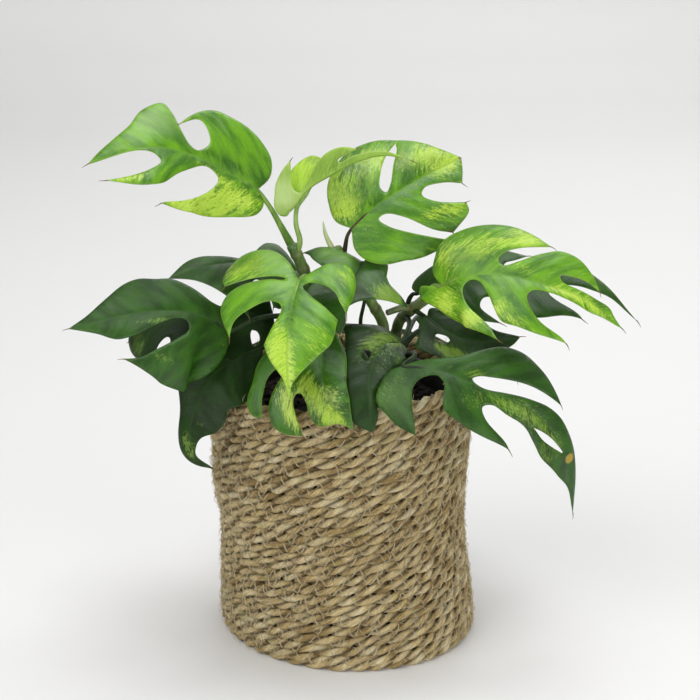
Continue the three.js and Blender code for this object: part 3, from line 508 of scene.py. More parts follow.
def plastic_material():
    n = Paint("black_pot", (0.012, 0.012, 0.013), 0.42)
    place = n.place()
    dust = n.ramp(n.noise(place, 90, 5, 0.7), 0.5, 0.8)
    n.set(Base_Color=n.layers((0.011, 0.011, 0.012), (dust, 0.35, (0.06, 0.05, 0.042))),
          Roughness=n.math("ADD", n.math("MULTIPLY", dust, 0.3), 0.36),
          Normal=n.bump(n.noise(place, 700, 3), 0.00012))
    return n.material


def add_pot():
    """A closed profile of (radius, height) points, turned about Z."""
    top, floor = POT_BASE + POT_HEIGHT, POT_BASE + POT_WALL
    rim_foot = top - POT_RIM_DEPTH
    foot, lip = pot_outer(rim_foot), POT_TOP_RADIUS + POT_RIM_WIDTH
    inside = POT_TOP_RADIUS - POT_WALL
    outer = [(pot_outer(z), z) for z in np.linspace(POT_BASE + 2, rim_foot - 1.2, 10)]
    rim = [(foot + 0.5, rim_foot - 0.5), (foot + POT_RIM_WIDTH - 0.5, rim_foot),
           (foot + POT_RIM_WIDTH, rim_foot + 0.6), (lip, top - 0.9), (lip - 0.5, top - 0.15),
           (POT_TOP_RADIUS, top), (inside + 0.5, top - 0.1), (inside, top - 0.7)]
    inner = [(pot_outer(z) - POT_WALL, z) for z in np.linspace(rim_foot, floor + 0.8, 8)]
    underside = [(pot_outer(floor) - POT_WALL - 0.8, floor), (DRAIN_RADIUS, floor),
                 (DRAIN_RADIUS, POT_BASE + 0.1), (POT_FOOT_RADIUS - 3, POT_BASE + 0.1),
                 (POT_FOOT_RADIUS - 2.4, POT_BASE), (POT_FOOT_RADIUS - 0.6, POT_BASE),
                 (POT_FOOT_RADIUS, POT_BASE + 0.7)]
    profile = outer + rim + inner + underside
    vertices = np.concatenate([polar(r, around(LATHE_SIDES), z) for r, z in profile])
    shape = vertices, grid_faces(len(profile), LATHE_SIDES, closed=True)
    make_piece("pot", shape, [plastic_material()], "nursery_pot")


def soil_material(name, dark, mid, pale):
    n = Paint(name, mid, 0.95, Specular_IOR_Level=0.25)
    place = n.place()
    grain = n.noise(place, 420, 5, 0.7)
    clumps = n.ramp(n.noise(place, 90, 3), 0.58, 0.75)
    n.set(Base_Color=n.layers(n.mix(n.ramp(grain, 0.35, 0.7), dark, mid), (clumps, 0.7, pale)),
          Normal=n.bump(grain, 0.0012))
    return n.material


def soil_height(x, y):
    share = np.hypot(x, y) / SOIL_RADIUS
    bumps = 0.9 * np.sin(x * 0.31 + 1.3 * np.sin(y * 0.23)) * np.sin(y * 0.37 + 1.1 * np.sin(x * 0.19))
    return SOIL_TOP + SOIL_CROWN * (1 - share ** 2) - 1.2 + 0.7 * bumps


def add_soil():
    rng = np.random.default_rng(SEED + 3)
    inside = pot_outer(SOIL_TOP) - POT_WALL - CLEARANCE
    low = POT_BASE + POT_WALL + CLEARANCE
    angle = around(LATHE_SIDES)
    rows = []
    for i in range(SOIL_RINGS + 1):
        x, y, _ = polar(inside * i / SOIL_RINGS, angle, 0).T
        uneven = rng.normal(0, 0.25, LATHE_SIDES) * (0.2 < i / SOIL_RINGS < 0.98)
        rows.append(np.stack([x, y, soil_height(x, y) + uneven], 1))
    rows += [polar(radius, angle, low) for radius in (pot_outer(low) - POT_WALL - CLEARANCE, 0.01)]
    shape = np.vstack(rows), grid_faces(len(rows), LATHE_SIDES)
    mix = soil_material("potting_mix", (0.005, 0.003, 0.002), (0.014, 0.009, 0.005), (0.032, 0.021, 0.012))
    make_piece("soil", shape, [mix], "potting_soil")
    bark = soil_material("bark", (0.012, 0.007, 0.004), (0.032, 0.019, 0.010), (0.06, 0.038, 0.022))
    grit = soil_material("perlite", (0.42, 0.41, 0.38), (0.60, 0.59, 0.56), (0.70, 0.69, 0.66))
    add_crumbs("soil_crumbs", mix, rng, 620, (0.7, 1.9), inside)
    add_crumbs("bark_chips", bark, rng, 150, (1.6, 3.6), inside)
    add_crumbs("soil_grit", grit, rng, 26, (0.7, 1.4), inside)


def add_crumbs(name, material, rng, count, sizes, inside):
    """Uneven icosahedra strewn over the soil."""
    ratio = (1 + 5 ** 0.5) / 2
    corners = [np.roll((a, b, 0), k) for k in range(3) for b in (ratio, -ratio) for a in (-1, 1)]
    corners = np.array(corners) / 1.9
    faces = [[int(corner, 16) for corner in face] for face in CRUMB_FACES.split()]
    crumbs = []
    for _ in range(count):
        size = rng.uniform(*sizes)
        radius = (inside - size - 0.5) * math.sqrt(rng.uniform(0, 1))
        angle = rng.uniform(0, 2 * math.pi)
        x, y = radius * math.cos(angle), radius * math.sin(angle)
        turn, _ = np.linalg.qr(rng.normal(size=(3, 3)))
        if np.linalg.det(turn) < 0:
            turn[:, 0] *= -1
        crumb = corners * rng.uniform(0.75, 1.2, (12, 1)) * (size * rng.uniform(0.5, 1.0, 3))
        z = float(soil_height(x, y)) + 0.15 * size
        crumbs.append((crumb @ turn.T + (x, y, z), faces))
    make_piece(name, join(crumbs), [material], "potting_soil")


# Vines. nodes are shares of a vine's length; look is the material's name, its greens and its scars' colour.

STEMS = {
    "stem_left": dict(
        radius=3.4, nodes=(0.24, 0.38, 0.52, 0.66, 0.82, 0.93),
        path="-8,6,104 -9,4,130 -12,-1,160 -16,-5,186 -20,-8,204 -26,-11,219",
        look=("vine_green", (0.045, 0.115, 0.018), (0.125, 0.225, 0.040), (0.16, 0.12, 0.05)),
    ),
    "stem_middle": dict(
        radius=3.2, nodes=(0.25, 0.42, 0.6, 0.76, 0.9),
        path="17,4,104 20,4,132 23,3,158 22,2,172 15,0,186 5,-2,205 -3,-3,215",
        look=("vine_olive", (0.085, 0.165, 0.028), (0.235, 0.350, 0.080), (0.12, 0.08, 0.035)),
    ),
    "stem_right": dict(
        radius=3.2, nodes=(0.32, 0.5, 0.66, 0.84),
        path="31,18,104 30,15,132 29,11,156 31,5,172 38,-4,182 44,-10,189",
        look=("vine_grey", (0.060, 0.105, 0.028), (0.160, 0.215, 0.070), (0.14, 0.10, 0.06)),
        stub="37,-3,181 33,-8,184 24,-11,182",
    ),
}
STEM_SIDES, STUB_SIDES, SHEATH_SIDES, STUB_RADIUS = 20, 14, 16, 1.7
SHEATH_PATH, SHEATH_RADIUS = "-2,-2,209 -6,0,216 -9,1,223 -10,2,229", 1.9


def stem_material(name, dark, light, scar):
    n = Paint(name, light, 0.42, Coat_Weight=0.12)
    place = n.place()
    mottle = n.ramp(n.noise(place, (170, 170, 60), 4, 0.6), 0.35, 0.68)
    flecks = n.ramp(n.noise(place, (900, 900, 300), 2), 0.58, 0.7)
    colour = n.layers(n.mix(mottle, dark, light), (flecks, 0.45, (0.30, 0.36, 0.12)),
                      (n.attribute("scar"), 1, scar))
    n.set(Base_Color=colour, Normal=n.bump(n.noise(place, (1500, 1500, 200), 2), 0.00022))
    return n.material


def sheath_material():
    n = Paint("shoot_sheath", (0.46, 0.56, 0.24), 0.4)
    streak = n.noise(n.place(), (900, 900, 90), 3)
    n.set(Base_Color=n.mix(streak, (0.30, 0.42, 0.12), (0.62, 0.68, 0.38)), Normal=n.bump(streak, 0.0003))
    return n.material


def add_stems():
    for name, stem in STEMS.items():
        path = catmull_rom(listed(stem["path"]), 26)
        share = np.linspace(0, 1, len(path))
        radius = stem["radius"] * (0.93 + 0.02 * wander(share * 40, 5, 3))
        scar = np.zeros(len(path))
        for node in stem["nodes"]:
            radius = radius + 0.34 * bell(share - node, 0.016)
            radius = radius - 0.12 * bell(share - node - 0.03, 0.012)
            scar = np.maximum(scar, bell(share - node - 0.012, 0.006))
        shapes = [tube(path, radius, STEM_SIDES)]
        scars = [np.concatenate([[scar[0]], scar, [scar[-1]]]).repeat(STEM_SIDES)]
        if "stub" in stem:
            path = catmull_rom(listed(stem["stub"]), 10)
            shapes.append(tube(path, STUB_RADIUS * np.linspace(1.25, 0.95, len(path)), STUB_SIDES))
            cut = smooth(np.arange(len(path) + 2), len(path) - 2, len(path))
            scars.append(cut.repeat(STUB_SIDES))
        make_piece(f"vine_{name[5:]}", join(shapes), [stem_material(*stem["look"])], name,
                   attributes={"scar": np.concatenate(scars) * 0.75})
    path = catmull_rom(listed(SHEATH_PATH), 12)
    radius = SHEATH_RADIUS * (1 - np.linspace(0, 1, len(path))) ** 0.8 + 0.18
    shape = tube(path, radius, SHEATH_SIDES)
    make_piece("sheath_tip", shape, [sheath_material()], "shoot_tip")


# Leaves
#
# A blade lies on a bent sheet. A point of it is given by s, the distance along the midrib, and t, the
# distance from it, positive on the leaf's left. rib and face say how the midrib runs and which way the
# upper side faces at the base and at the tip. left and right (the same as left if not given) say how many
# degrees each half rises from the midrib and how many it falls in each 10 mm outwards, at the base, then
# at the tip. outline holds the strokes of the edge from one lobe's point to the next. The petiole leads up
# to the rib, with radii at its foot and at the blade. like takes the outline of another leaf, at a scale
# and mirrored or not.
#
# tone and stalk name the greens, lean is the slope of the side veins, and overall adds to a kind of mark
# everywhere. Each kind of mark lists its places: s, t, reach along s, reach along t, strength.

LEAVES = {
    "leaf_upper_left": dict(
        tone="mint", lean=0.6, radii=(2.6, 1.3), left=(-4, 7, -4, 8), right=(20, 5, 12, 7),
        rib="-44,-6,248 -62,-16,261 -75,-24,270 -97,-34,277 -127,-46,271",
        face="-0.2,-0.62,0.75 -0.3,-0.58,0.76", petiole="-19,-7,203 -27,-5,218 -32,-6,228 -38,-6,239",
        outline="""0,0 -5,6 -2,14 12,22 35,31 70,33 / 45,26 30,15 26,6 34,3 50,12 63,21 79,22 96,13 /
            82,15 72,14 63,9 66,4 74,1 101,0 / 93,-5 74,-15 66,-25 58,-29 55,-24 50,-12 46,-6 41,-4
            35,-10 36,-17 40,-23 52,-16 / 44,-25 33,-33 19,-32 6,-27 -3,-20 -5,-10 0,0""",
        streak="""85,2,17,4,0.7 85,16,13,4,1.4 7,10,13,9,1.3 25,20,15,11,1.7 48,29,14,9,2.1
            36,4,6,2.5,1 24,6,5,3,0.9""",
        fleck="13,12,16,9,1.2", dark="19,-5,16,3,0.9 37,-6,8,3,0.5", light="64,-17,16,8,0.5",
    ),
    "leaf_unfurling": dict(
        tone="young", lean=0.9, radii=(1.6, 1.2), left=(66, 10, 60, 6), right=(80, 0, 75, 0),
        rib="-24,-14,241 -20,-17,247.5 -14,-20,254.5 -5,-23,260.5 7.5,-26,267.5 22,-28,271.5 36,-30,269",
        face="-0.5,0,0.85 0,0,1", petiole="-24,-10,214 -22,-13,222 -24,-14,232",
        outline="""0,0 -4,-1 -8,-1 -10,-4 -8,-8.5 0,-13 8,-16 18,-18 / 14.5,-13 10.5,-9.5 8,-5 8.5,-2.5
            11,-2.5 15,-3 20.5,-5.5 26,-9 33,-11.5 40,-11 47.5,-6.5 / 42,-6 36,-5 36,-3.5 44.5,-3.8
            57,-2.6 73.5,0 / 60,1.2 46,1.6 36,2.5 30,5 27,10 22,14.5 14,16 6,15.5 -2,12 -7,7 -6,1.5 0,0""",
        light="2,-10,9,9,1.8", streak="12,9,10,8,2.4", dark="34,-3,14,6,1",
    ),
    "leaf_centre": dict(
        tone="mint", lean=0.55, radii=(1.8, 1.2), left=(12, 12, 8, 6), right=(10, 10, 8, 6),
        rib="-22,-42,209 -25,-54,201 -27,-70,186 -27,-80,171 -26,-88,159",
        face="-0.05,-0.62,0.78 0,-0.85,0.5", petiole="-15,-4,182 -17,-20,198 -19,-34,209",
        outline="""0,0 -11,-8 -17,-17 -17,-28 -13,-37 -6,-42 1,-42.5 7,-39 / 4.5,-31.5 2.5,-25 1,-18
            0,-11 0.5,-6.5 2,-8 2.8,-14 4.3,-21 6,-26.5 9,-32 13,-36 20,-37.3 36,-30 / 27,-28 20,-20
            16,-12 17,-6 21,-5 29,-8 40,-12 / 47,-9 58,-2 69,0 / 60,2 54,7 46,15 38,22 23,24.5 / 16,17
            9,8 4,3 1,6 1,13 4,20 10,24 18,28.5 / 11,29 1,30 -7,29 -15,24 -15,16 -9,8 0,0""",
        streak="""-3,-33,9,15,1.1 -12,-23,8,8,0.5 40,-5,14,7,1.5 53,-2,12,6,1.4 64,-1,8,4,1.5
            39,15,14,8,0.8 -7,23,8,8,0.8 10,23,6,5,0.9""",
        dark="-9,-28,7,14,0.6 22,0,8,2.2,1.5", light="-9,-19,12,10,0.6",
    ),
    "leaf_upper_right": dict(
        tone="mint", stalk="plum", lean=0.6, radii=(1.3, 0.9), left=(6, 9, 6, 8), right=(6, 10, 6, 10),
        overall=dict(streak=0.15), rib="5,-6,227 14,-2,235 27,4,243 44,12,251 64,18,260",
        face="-0.15,-0.85,0.5 -0.25,-0.75,0.6", petiole="1,-3,210 2,-4,218 3,-5,223",
        outline="""0,0 -3,9 3,21 13,32 23,38 32,39 42,36 50,28 59,18 72,0 / 69,-7 65,-14 / 57,-9 46,-6
            42,-9 47,-16 62,-24 / 61,-29 46,-35 / 36,-28 26,-14 19,-7 14,-7 16,-14 24,-23 33,-31 43,-38
            / 34,-39 20,-37 3,-30 -6,-20 -7,-10 0,0""",
        holes="48,27 41,23 32,15 26,7 27,3 32,6 39,14 46,22",
        dark="14,22,14,14,0.45 21,26,10,6,1.1 18,12,6,12,0.8 48,4,14,5,1.1 44,15,8,9,0.7 18,1,14,2.5,0.7",
        streak="""12,24,12,16,1.25 4,9,9,8,1.1 33,24,12,10,1.2 54,12,14,8,1.3 63,1,12,7,1.5
            43,-21,12,4,0.9 54,-25,8,5,0.8""",
        fleck="55,4,20,10,1", brown="72,0,1.6,1.6,1.3 44,-34,1.6,1.6,1.3",
    ),
    "leaf_right": dict(
        tone="mint", lean=0.9, radii=(1.9, 1.2), left=(22, 6, 14, 8), right=(-4, 7, 0, 7),
        overall=dict(streak=0.15),
        rib="52,-32,203 62,-38,210 81,-44,213 101,-50,210 124,-54,203 142,-58,189",
        face="0.05,-0.66,0.75 0.3,-0.6,0.75", petiole="42,-8,187 46,-20,197 49,-28,202",
        outline="""0,0 -3,9 2,18 10,24 20,27 34,28 44,26 55,22 / 47,19 40,16 34,12 32,8 35,5 42,9 51,16
            61,21 70,20 77,15 84,7.5 / 76,9 70,8.5 64,7 66,4 74,3 84,3 92,4 97,2 104,0 / 93,-3 84,-6
            71,-5 62,-4 53,-5 51,-9 55,-16 62,-22 84,-28 / 62,-28 52,-27 42,-26 34,-19 28,-10 23,-4
            18,-3 14,-7 17,-17 43,-36 / 26,-32 8,-25 -5,-11 -15,0 -13,5 -7,3 0,0""",
        streak="""6,11,8,7,0.9 11,18,7,6,0.6 34,18,15,3.5,1 23,12,8,5,1 43,24,10,4,1.2 0,-10,10,9,1.4
            18,-24,10,7,1.5 37,-19,8,5,1.2 48,-25,10,4,0.8 83,-2,14,3,1.4 66,-1,9,2.5,1.2 44,5,9,3,0.7""",
        dark="18,9,7,5,0.7 44,1,10,2,0.7", fleck="4,-14,14,10,1.1",
    ),
    "leaf_under_right": dict(
        radii=(1.6, 1), left=(10, 10, 8, 9), right=(4, 10, 4, 8),
        rib="40,-1,190 53,-7,196 73,-13,200 99,-20,198 130,-28,199 152,-34,186",
        face="0.1,-0.6,0.8 0.3,-0.6,0.75", petiole="36,-1,179 36,4,184 38,3,188",
        outline="""0,0 -3,4 -1,9 7,13.5 18,16.5 30,20 43,24 58,23 / 52,18 47,14 49,9 60,13 74,17 87,15
            98,9 109,5 125,0 / 108,2 97,1 87,2 79,2 74,-2 79,-8 98,-19 / 82,-17 71,-18 60,-18 51,-15
            46,-10 41,-11 40,-16 54,-24 / 42,-24 30,-21 19,-15 8,-8 0,0""",
    ),
    "leaf_behind_centre": dict(
        lean=0.6, radii=(1.3, 0.9), left=(14, 13, 10, 10), rib="11,-10,210 6,-22,203 2,-38,195 -1,-50,182",
        face="0.1,-0.5,0.85 0.05,-0.85,0.5", petiole="23,3,152 14,-4,163 10,-6,174 12,-8,188 12,-9,201",
        outline="""0,0 -1,-8 -2,-18 -1,-26 5,-33 / 6,-29 9,-25 13,-17 17,-11 21,-14 25,-20 36,-26 /
            39,-19 41,-12 45,-6 51,0 / 44,2 36,1 31,5 27,12 23,21 19,33 / 13,26 9,19 5,15.5 / -3,13
            -6,8 -5,3 0,0""",
        streak="19,18,11,7,1.8 21,25,6,4,1.6", fleck="18,13,12,7,1.2 31,-12,8,6,0.8",
        light="0,-19,9,7,1.6 2,-8,8,5,1.2",
    ),
    "leaf_back_left": dict(
        radii=(1.7, 1.1), left=(6, 10, 6, 8), rib="-23,6,200 -37,2,206 -54,-4,208 -72,-12,208 -90,-20,204",
        face="-0.1,-0.5,0.85 -0.3,-0.5,0.8", petiole="-16,-5,188 -18,2,196",
        outline="""0,0 5,-6 9.5,-11.5 13,-15.5 17,-15.5 20.5,-12 24.5,-7 / 24,-2.5 28,-1 34,-3 40,-5
            46,-6.5 54,-8 62,-7 75,0 / 69,4 63,9 57,16 51,24 40,38 / 38,26 33,17 28,14 24,20 20,31 /
            8,28 1,18 -2,8 0,0""",
    ),
    "leaf_left": dict(
        lean=0.6, radii=(1.9, 1.2), left=(-4, 8, -2, 8), right=(14, 7, 8, 8),
        rib="-59,-34,179 -75,-42,191 -98,-50,195 -118,-56,193 -138,-60,189",
        face="-0.2,-0.62,0.76 -0.3,-0.6,0.74", petiole="-13,-2,166 -25,-14,180 -43,-27,184",
        outline="""0,0 -2,9 1,22 6,32 18,41 / 28,43 42,41 54,35 66,24 / 58,25 47,22 34,16 26,10 27,5
            33,4 42,7 55,12 66,13 76,7 89,0 / 78,-5 66,-13 56,-19 49,-21 41,-20 33,-20 25,-16 16,-10
            7,-9 0,0""",
        fleck="45,6,16,2.4,1.5 36,7,8,2,1.4 39,28,10,5,1 26,19,8,6,0.9 46,25,6,3,0.9 2,8,5,4,0.9",
        brown="13,38,1.8,1.4,1.1",
    ),
    "leaf_low_left": dict(
        tone="painted_shade", lean=0.6, radii=(1.9, 1.2), left=(0, 7, 0, 7), right=(6, 4, 0, 7),
        rib="-42,-24,167 -56,-33,163 -68,-42,156 -76,-49,142 -79,-54,126 -67,-58,112",
        face="-0.2,-0.85,0.5 -0.55,-0.8,0.2", petiole="-11,1,152 -22,-9,162 -33,-17,167",
        outline="""0,0 5,8 16,17 28,22 38,22 46,17 / 54,18 65,13 73,2 77,-2 89,0 / 81,-6 74,-8 66,-7
            57,-8 47,-13 41,-22 34,-30 30.8,-33.5 30.9,-36.5 33.5,-37.8 37,-37.5 40.5,-40 41.5,-48
            40,-56 37.5,-61 / 34.5,-63 31.5,-60 27,-51 20,-40 8,-31 -8,-30 -18,-22 / -12,-8 0,0""",
        holes="0.2,-11 -1.8,-9.2 -1.4,-5.5 1.6,-2.4 4.2,-2.2 3.8,-6 2,-9.6",
        fleck="68,-2,6,3.5,1.6 75,-5,5,3.5,1.3 59,5,3,4,1.3 38,-49,6,5,1.6 15,9,4,3,0.7",
        streak="73,-1,6,4,0.8 37,-53,5,4,0.8",
    ),
    "leaf_low_centre": dict(
        tone="middle", lean=0.8, radii=(1.7, 1.1), left=(8, 9, 6, 6), right=(14, 12, 8, 8),
        overall=dict(fleck=0.35), rib="-6,-34,182 -10,-50,173 -9,-66,161 -2,-76,151 6,-80,142",
        face="-0.05,-0.7,0.7 0,-0.9,0.4", petiole="-12,-1,160 -9,-14,174 -7,-26,182",
        outline="""0,0 9,8 24,13 51,9 68,0 / 61,-4 56,-13 51,-14 44,-12 40,-13 41,-17 56,-22 / 52,-28
            47,-32 42,-32 38,-28 34,-23 29,-18 28,-22 31,-28 35,-31 42,-36 / 40,-41 37,-42 31,-37
            24,-34 17,-27 11,-16 3,-8 0,0""",
        streak="46,-21,10,5,1.5 38,-12,8,4,1.2 52,-6,9,6,1.5 60,-4,6,4,1.6 38,-6,8,3,1.3",
        fleck="43,-20,13,7,1.4 47,0,11,7,1.3", dark="48,-1,5,4,0.7",
    ),
    "leaf_low_middle": dict(
        tone="painted_shade", lean=0.6, radii=(1.6, 1), left=(8, 8, 6, 6), right=(8, 9, 8, 8),
        rib="31,-34,173 22,-44,175 15,-56,166 14,-70,153 16,-77,139", face="-0.1,-0.6,0.78 0,-0.9,0.4",
        petiole="34,1,177 36,-12,177 34,-26,176",
        outline="""0,0 3,8 18,15 27,11 36,8 45,3 57,4 66,0 / 62,-6 58,-10 46,-11 29,-14 18,-21 15,-28 /
            11,-16 4,-10 -2,-5 0,0""",
        holes="25,-7 21,-6.5 22,-3 27,-4", streak="18,-5,10,7,1.3 5,0,8,6,1.2 21,13,6,4,0.9",
        fleck="17,5,12,8,1.2 32,4,6,5,0.7",
    ),
    "leaf_low_right": dict(
        lean=0.8, radii=(1.9, 1.2), left=(10, 9, 4, 8), right=(0, 8, 0, 6), overall=dict(fleck=0.3),
        rib="31,-63,170 50,-71,170 73,-76,162 96,-77,151 113,-75,129 120,-71,91",
        face="0.15,-0.7,0.7 0.7,-0.6,0.3", petiole="21,4,143 30,-12,156 37,-34,167 37,-52,171",
        outline="""0,0 6,3 19,7 28,12 36,20 45,27 58,29 68,25 84,15 / 71,12.5 58,10 47,7.5 40,5 37,2
            43,0 56,2 69,5 78,8 87,9.5 96,8.5 110,6 122,4 138,0 / 122,-2 110,-9 93,-15 82,-13 73,-10
            60,-9 51,-7 47,-10 51,-16 72,-25 / 50,-24 39,-22 30,-19 25,-6 / 20,-3 12,-6 9,-11 11,-22
            17,-36 / 6,-33 -1,-28 -9,-21 -9,-13 -6,-4 0,0""",
        holes="77,-7 86,-4 95,-2 101,-1 95,-5 86,-8",
        fleck="-5,-17,8,7,0.8 1,-7,7,5,0.7 66,-4,14,7,1.4 94,-3,10,6,1.3 40,-9,9,7,0.9",
        streak="54,-4,13,5,1.1 79,-3,11,5,1.2 93,-12,9,4,1 39,5,9,4,0.9", light="-1,-19,12,9,0.3",
        spot="106,2,2.6,3.6,1.6",
    ),
    "leaf_mid_right": dict(
        tone="painted_shade", lean=0.7, radii=(1.6, 1), left=(10, 8, 6, 8), right=(4, 9, 4, 8),
        rib="45,-18,182 52,-28,179 63,-36,176 77,-42,176 91,-46,179", face="0.1,-0.6,0.78 0.2,-0.6,0.75",
        petiole="38,-4,182 41,-11,182",
        outline="""0,0 -4,5 2,10 14,13 31,13 46,6 58,1 / 55,-3 50,-6 / 44,-8 38,-9 33,-12 33,-16 /
            24,-16 12,-19 / 10,-13 6,-8 -3,-5 0,0""",
        holes="16,-8 14,-5 19,-3 22,-5 19,-8", streak="23,-11,9,3.5,1.5 30,-12,7,3,1", fleck="9,-1,8,6,0.5",
    ),
    "leaf_rear_low_left": dict(
        radii=(1.6, 1), left=(8, 9, 6, 8), like=("leaf_upper_right", 0.75, False),
        rib="-28,80,138 -34,89,122 -39,92,102 -41,91,80", face="-0.1,0.75,0.6 -0.1,0.95,0.2",
        petiole="-9,3,140 -13,22,158 -19,46,166 -25,68,154",
    ),
    "leaf_rear_centre": dict(
        tone="middle", lean=0.6, radii=(1.6, 1), left=(8, 9, 6, 8), like=("leaf_left", 0.72, True),
        rib="-8,87,142 -4,102,127 3,108,106 6,106,84", face="0.1,0.75,0.6 0.1,0.95,0.2",
        petiole="20,4,138 6,24,156 -8,48,167 -11,70,159",
    ),
    "leaf_rear_low_right": dict(
        radii=(1.5, 1), left=(8, 9, 6, 8), like=("leaf_upper_right", 0.64, True),
        rib="44,72,142 46,86,126 44,92,106 40,91,86", face="0.2,0.75,0.6 0.2,0.95,0.2",
        petiole="30,14,140 36,30,156 42,48,161 45,60,155",
    ),
    "leaf_rear_left": dict(
        radii=(1.7, 1.1), left=(6, 9, 6, 8), like=("leaf_upper_left", 0.8, False),
        rib="-54,18,172 -78,26,175 -104,32,171 -126,36,161", face="0.05,0.35,0.93 -0.2,0.3,0.9",
        petiole="-10,3,149 -28,12,162 -44,16,170",
    ),
    "leaf_rear_right": dict(
        radii=(1.7, 1.1), left=(6, 9, 6, 8), like=("leaf_left", 0.72, True),
        rib="56,30,162 73,38,154 89,45,141 99,50,124", face="0.35,0.35,0.85 0.6,0.3,0.7",
        petiole="29,13,146 38,21,158 47,26,162",
    ),
}

# The greens of each tone, then its roughness, specular level and subsurface weight, and the strength of its
# marbling, its midrib and the colour of its underside

GREENS = ("dark", "mid", "light", "deep", "streak", "fleck", "rib", "margin", "under")
PALETTES = {
    "mint": ("0.028,0.13,0.003 0.118,0.315,0.003 0.34,0.58,0.11 0.016,0.08,0.004 0.41,0.61,0.035 "
             "0.58,0.72,0.15 0.15,0.33,0.02 0.25,0.42,0.04 0.17,0.3,0.05",
             0.25, 0.36, 0.06, 0.85, 0.3, 0.55),
    "middle": ("0.012,0.052,0.004 0.036,0.132,0.007 0.14,0.3,0.03 0.008,0.04,0.004 0.33,0.5,0.035 "
               "0.46,0.6,0.11 0.07,0.18,0.015 0.16,0.28,0.03 0.09,0.17,0.04",
               0.26, 0.32, 0.06, 0.8, 0.3, 0.55),
    "deep": ("0.01,0.04,0.005 0.026,0.092,0.008 0.12,0.27,0.035 0.004,0.018,0.004 0.22,0.36,0.03 "
             "0.22,0.34,0.065 0.04,0.11,0.018 0.05,0.12,0.02 0.04,0.085,0.03",
             0.25, 0.26, 0.03, 0.7, 0.35, 0.55),
    # painted shade: a darker copy of the deep greens, for leaves that lie in the shaded inside of the plant
    "painted_shade": ("0.004,0.016,0.002 0.01,0.036,0.004 0.08,0.17,0.035 0.003,0.012,0.002 0.2,0.34,0.025 "
              "0.17,0.28,0.05 0.025,0.07,0.01 0.04,0.09,0.015 0.03,0.06,0.02",
              0.31, 0.2, 0.02, 0.7, 0.3, 0.55),
    "young": ("0.22,0.38,0.035 0.29,0.48,0.055 0.6,0.74,0.34 0.12,0.24,0.025 0.5,0.76,0.05 "
              "0.55,0.74,0.16 0.34,0.52,0.09 0.48,0.6,0.18 0.26,0.44,0.05",
              0.34, 0.35, 0.14, 0.85, 0.3, 0.15),
}
STALKS = {  # dark and light green
    "mint": ((0.085, 0.19, 0.02), (0.21, 0.34, 0.06)),
    "middle": ((0.030, 0.080, 0.012), (0.090, 0.170, 0.030)),
    # painted shade: darker than the deep leaves' own green, as these stalks lie in shade inside the plant
    "deep": ((0.006, 0.020, 0.004), (0.022, 0.048, 0.010)),
    "plum": ((0.030, 0.022, 0.010), (0.095, 0.070, 0.028)),
    "young": ((0.12, 0.24, 0.04), (0.28, 0.42, 0.11)),
}
# The light kind of mark lays on the light green: partly paler patches of the leaf, partly painted highlight
# where its gloss shines
MARKS = ("streak", "fleck", "dark", "light", "spot", "brown")
BROWN, OCHRE = (0.15, 0.10, 0.035), (0.42, 0.30, 0.045)

EDGE_STEP = 1.1  # between points round a blade's edge
GRID, GRID_ROW = 1.9, 0.866  # step between points inside a blade, and its rows' share of it
RIB_STEP, RIB_LINES = 1.2, (-1.3, -0.6, 0, 0.6, 1.3)  # finer points along the midrib
BATCH = 400  # points measured at a time
VEIN_SPACING, VEIN_CURVE, QUILT_HEIGHT = 8.5, 0.25 / 40, 0.30
LEAST_SHARP = 1.1  # lobes blunter than this have no drip tip


class Sheet:
    """The bent sheet that carries a blade."""

    def __init__(self, leaf):
        self.face = np.array(listed(leaf["face"]))
        self.halves = (leaf["left"], leaf.get("right", leaf["left"]))
        self.points = catmull_rom(listed(leaf["rib"]), 12)
        steps = np.linalg.norm(np.diff(self.points, axis=0), axis=1)
        self.distances = np.concatenate([[0], np.cumsum(steps)])
        self.length = self.distances[-1]
        ends = np.clip(np.arange(len(self.points))[:, None] + (-1, 1), 0, len(self.points) - 1)
        self.directions = unit(self.points[ends[:, 1]] - self.points[ends[:, 0]])

    def along_rib(self, s):
        inside = np.clip(s, 0, self.length)
        T, P = (np.stack([np.interp(inside, self.distances, values[:, k]) for k in range(3)], -1)
                for values in (self.directions, self.points))
        T = unit(T)
        return P + T * (s - inside)[..., None], T, inside / self.length

    def at(self, s, t):
        s, t = np.asarray(s, float), np.asarray(t, float)
        P, T, share = self.along_rib(s)
        N = self.face[0] + (self.face[1] - self.face[0]) * share[..., None]
        N = unit(N - T * np.sum(N * T, -1)[..., None])
        bend = [np.where(t >= 0, a, b) for a, b in zip(*self.halves)]
        rise = np.radians(bend[0] + (bend[2] - bend[0]) * share)
        fall = np.maximum(np.radians(bend[1] + (bend[3] - bend[1]) * share) / 10, 1e-5)
        end = rise - fall * np.abs(t)
        across = (np.sin(rise) - np.sin(end)) / fall
        up = (np.cos(end) - np.cos(rise)) / fall
        return P + np.cross(N, T) * (np.sign(t) * across)[..., None] + N * up[..., None]

    def normal_at(self, s, t):
        s, t, d = np.asarray(s, float), np.asarray(t, float), 0.5
        return unit(np.cross(self.at(s + d, t) - self.at(s - d, t), self.at(s, t + d) - self.at(s, t - d)))


def outline_of(leaf):
    """The strokes of a blade's edge and its holes, each a list of (s, t) points."""
    if "like" not in leaf:
        return [[listed(line) for line in text.split("/")] if text else []
                for text in (leaf["outline"], leaf.get("holes"))]
    other, scale, mirrored = leaf["like"]
    turn = -scale if mirrored else scale
    return [[[(s * scale, t * turn) for s, t in line] for line in lines]
            for lines in outline_of(LEAVES[other])]


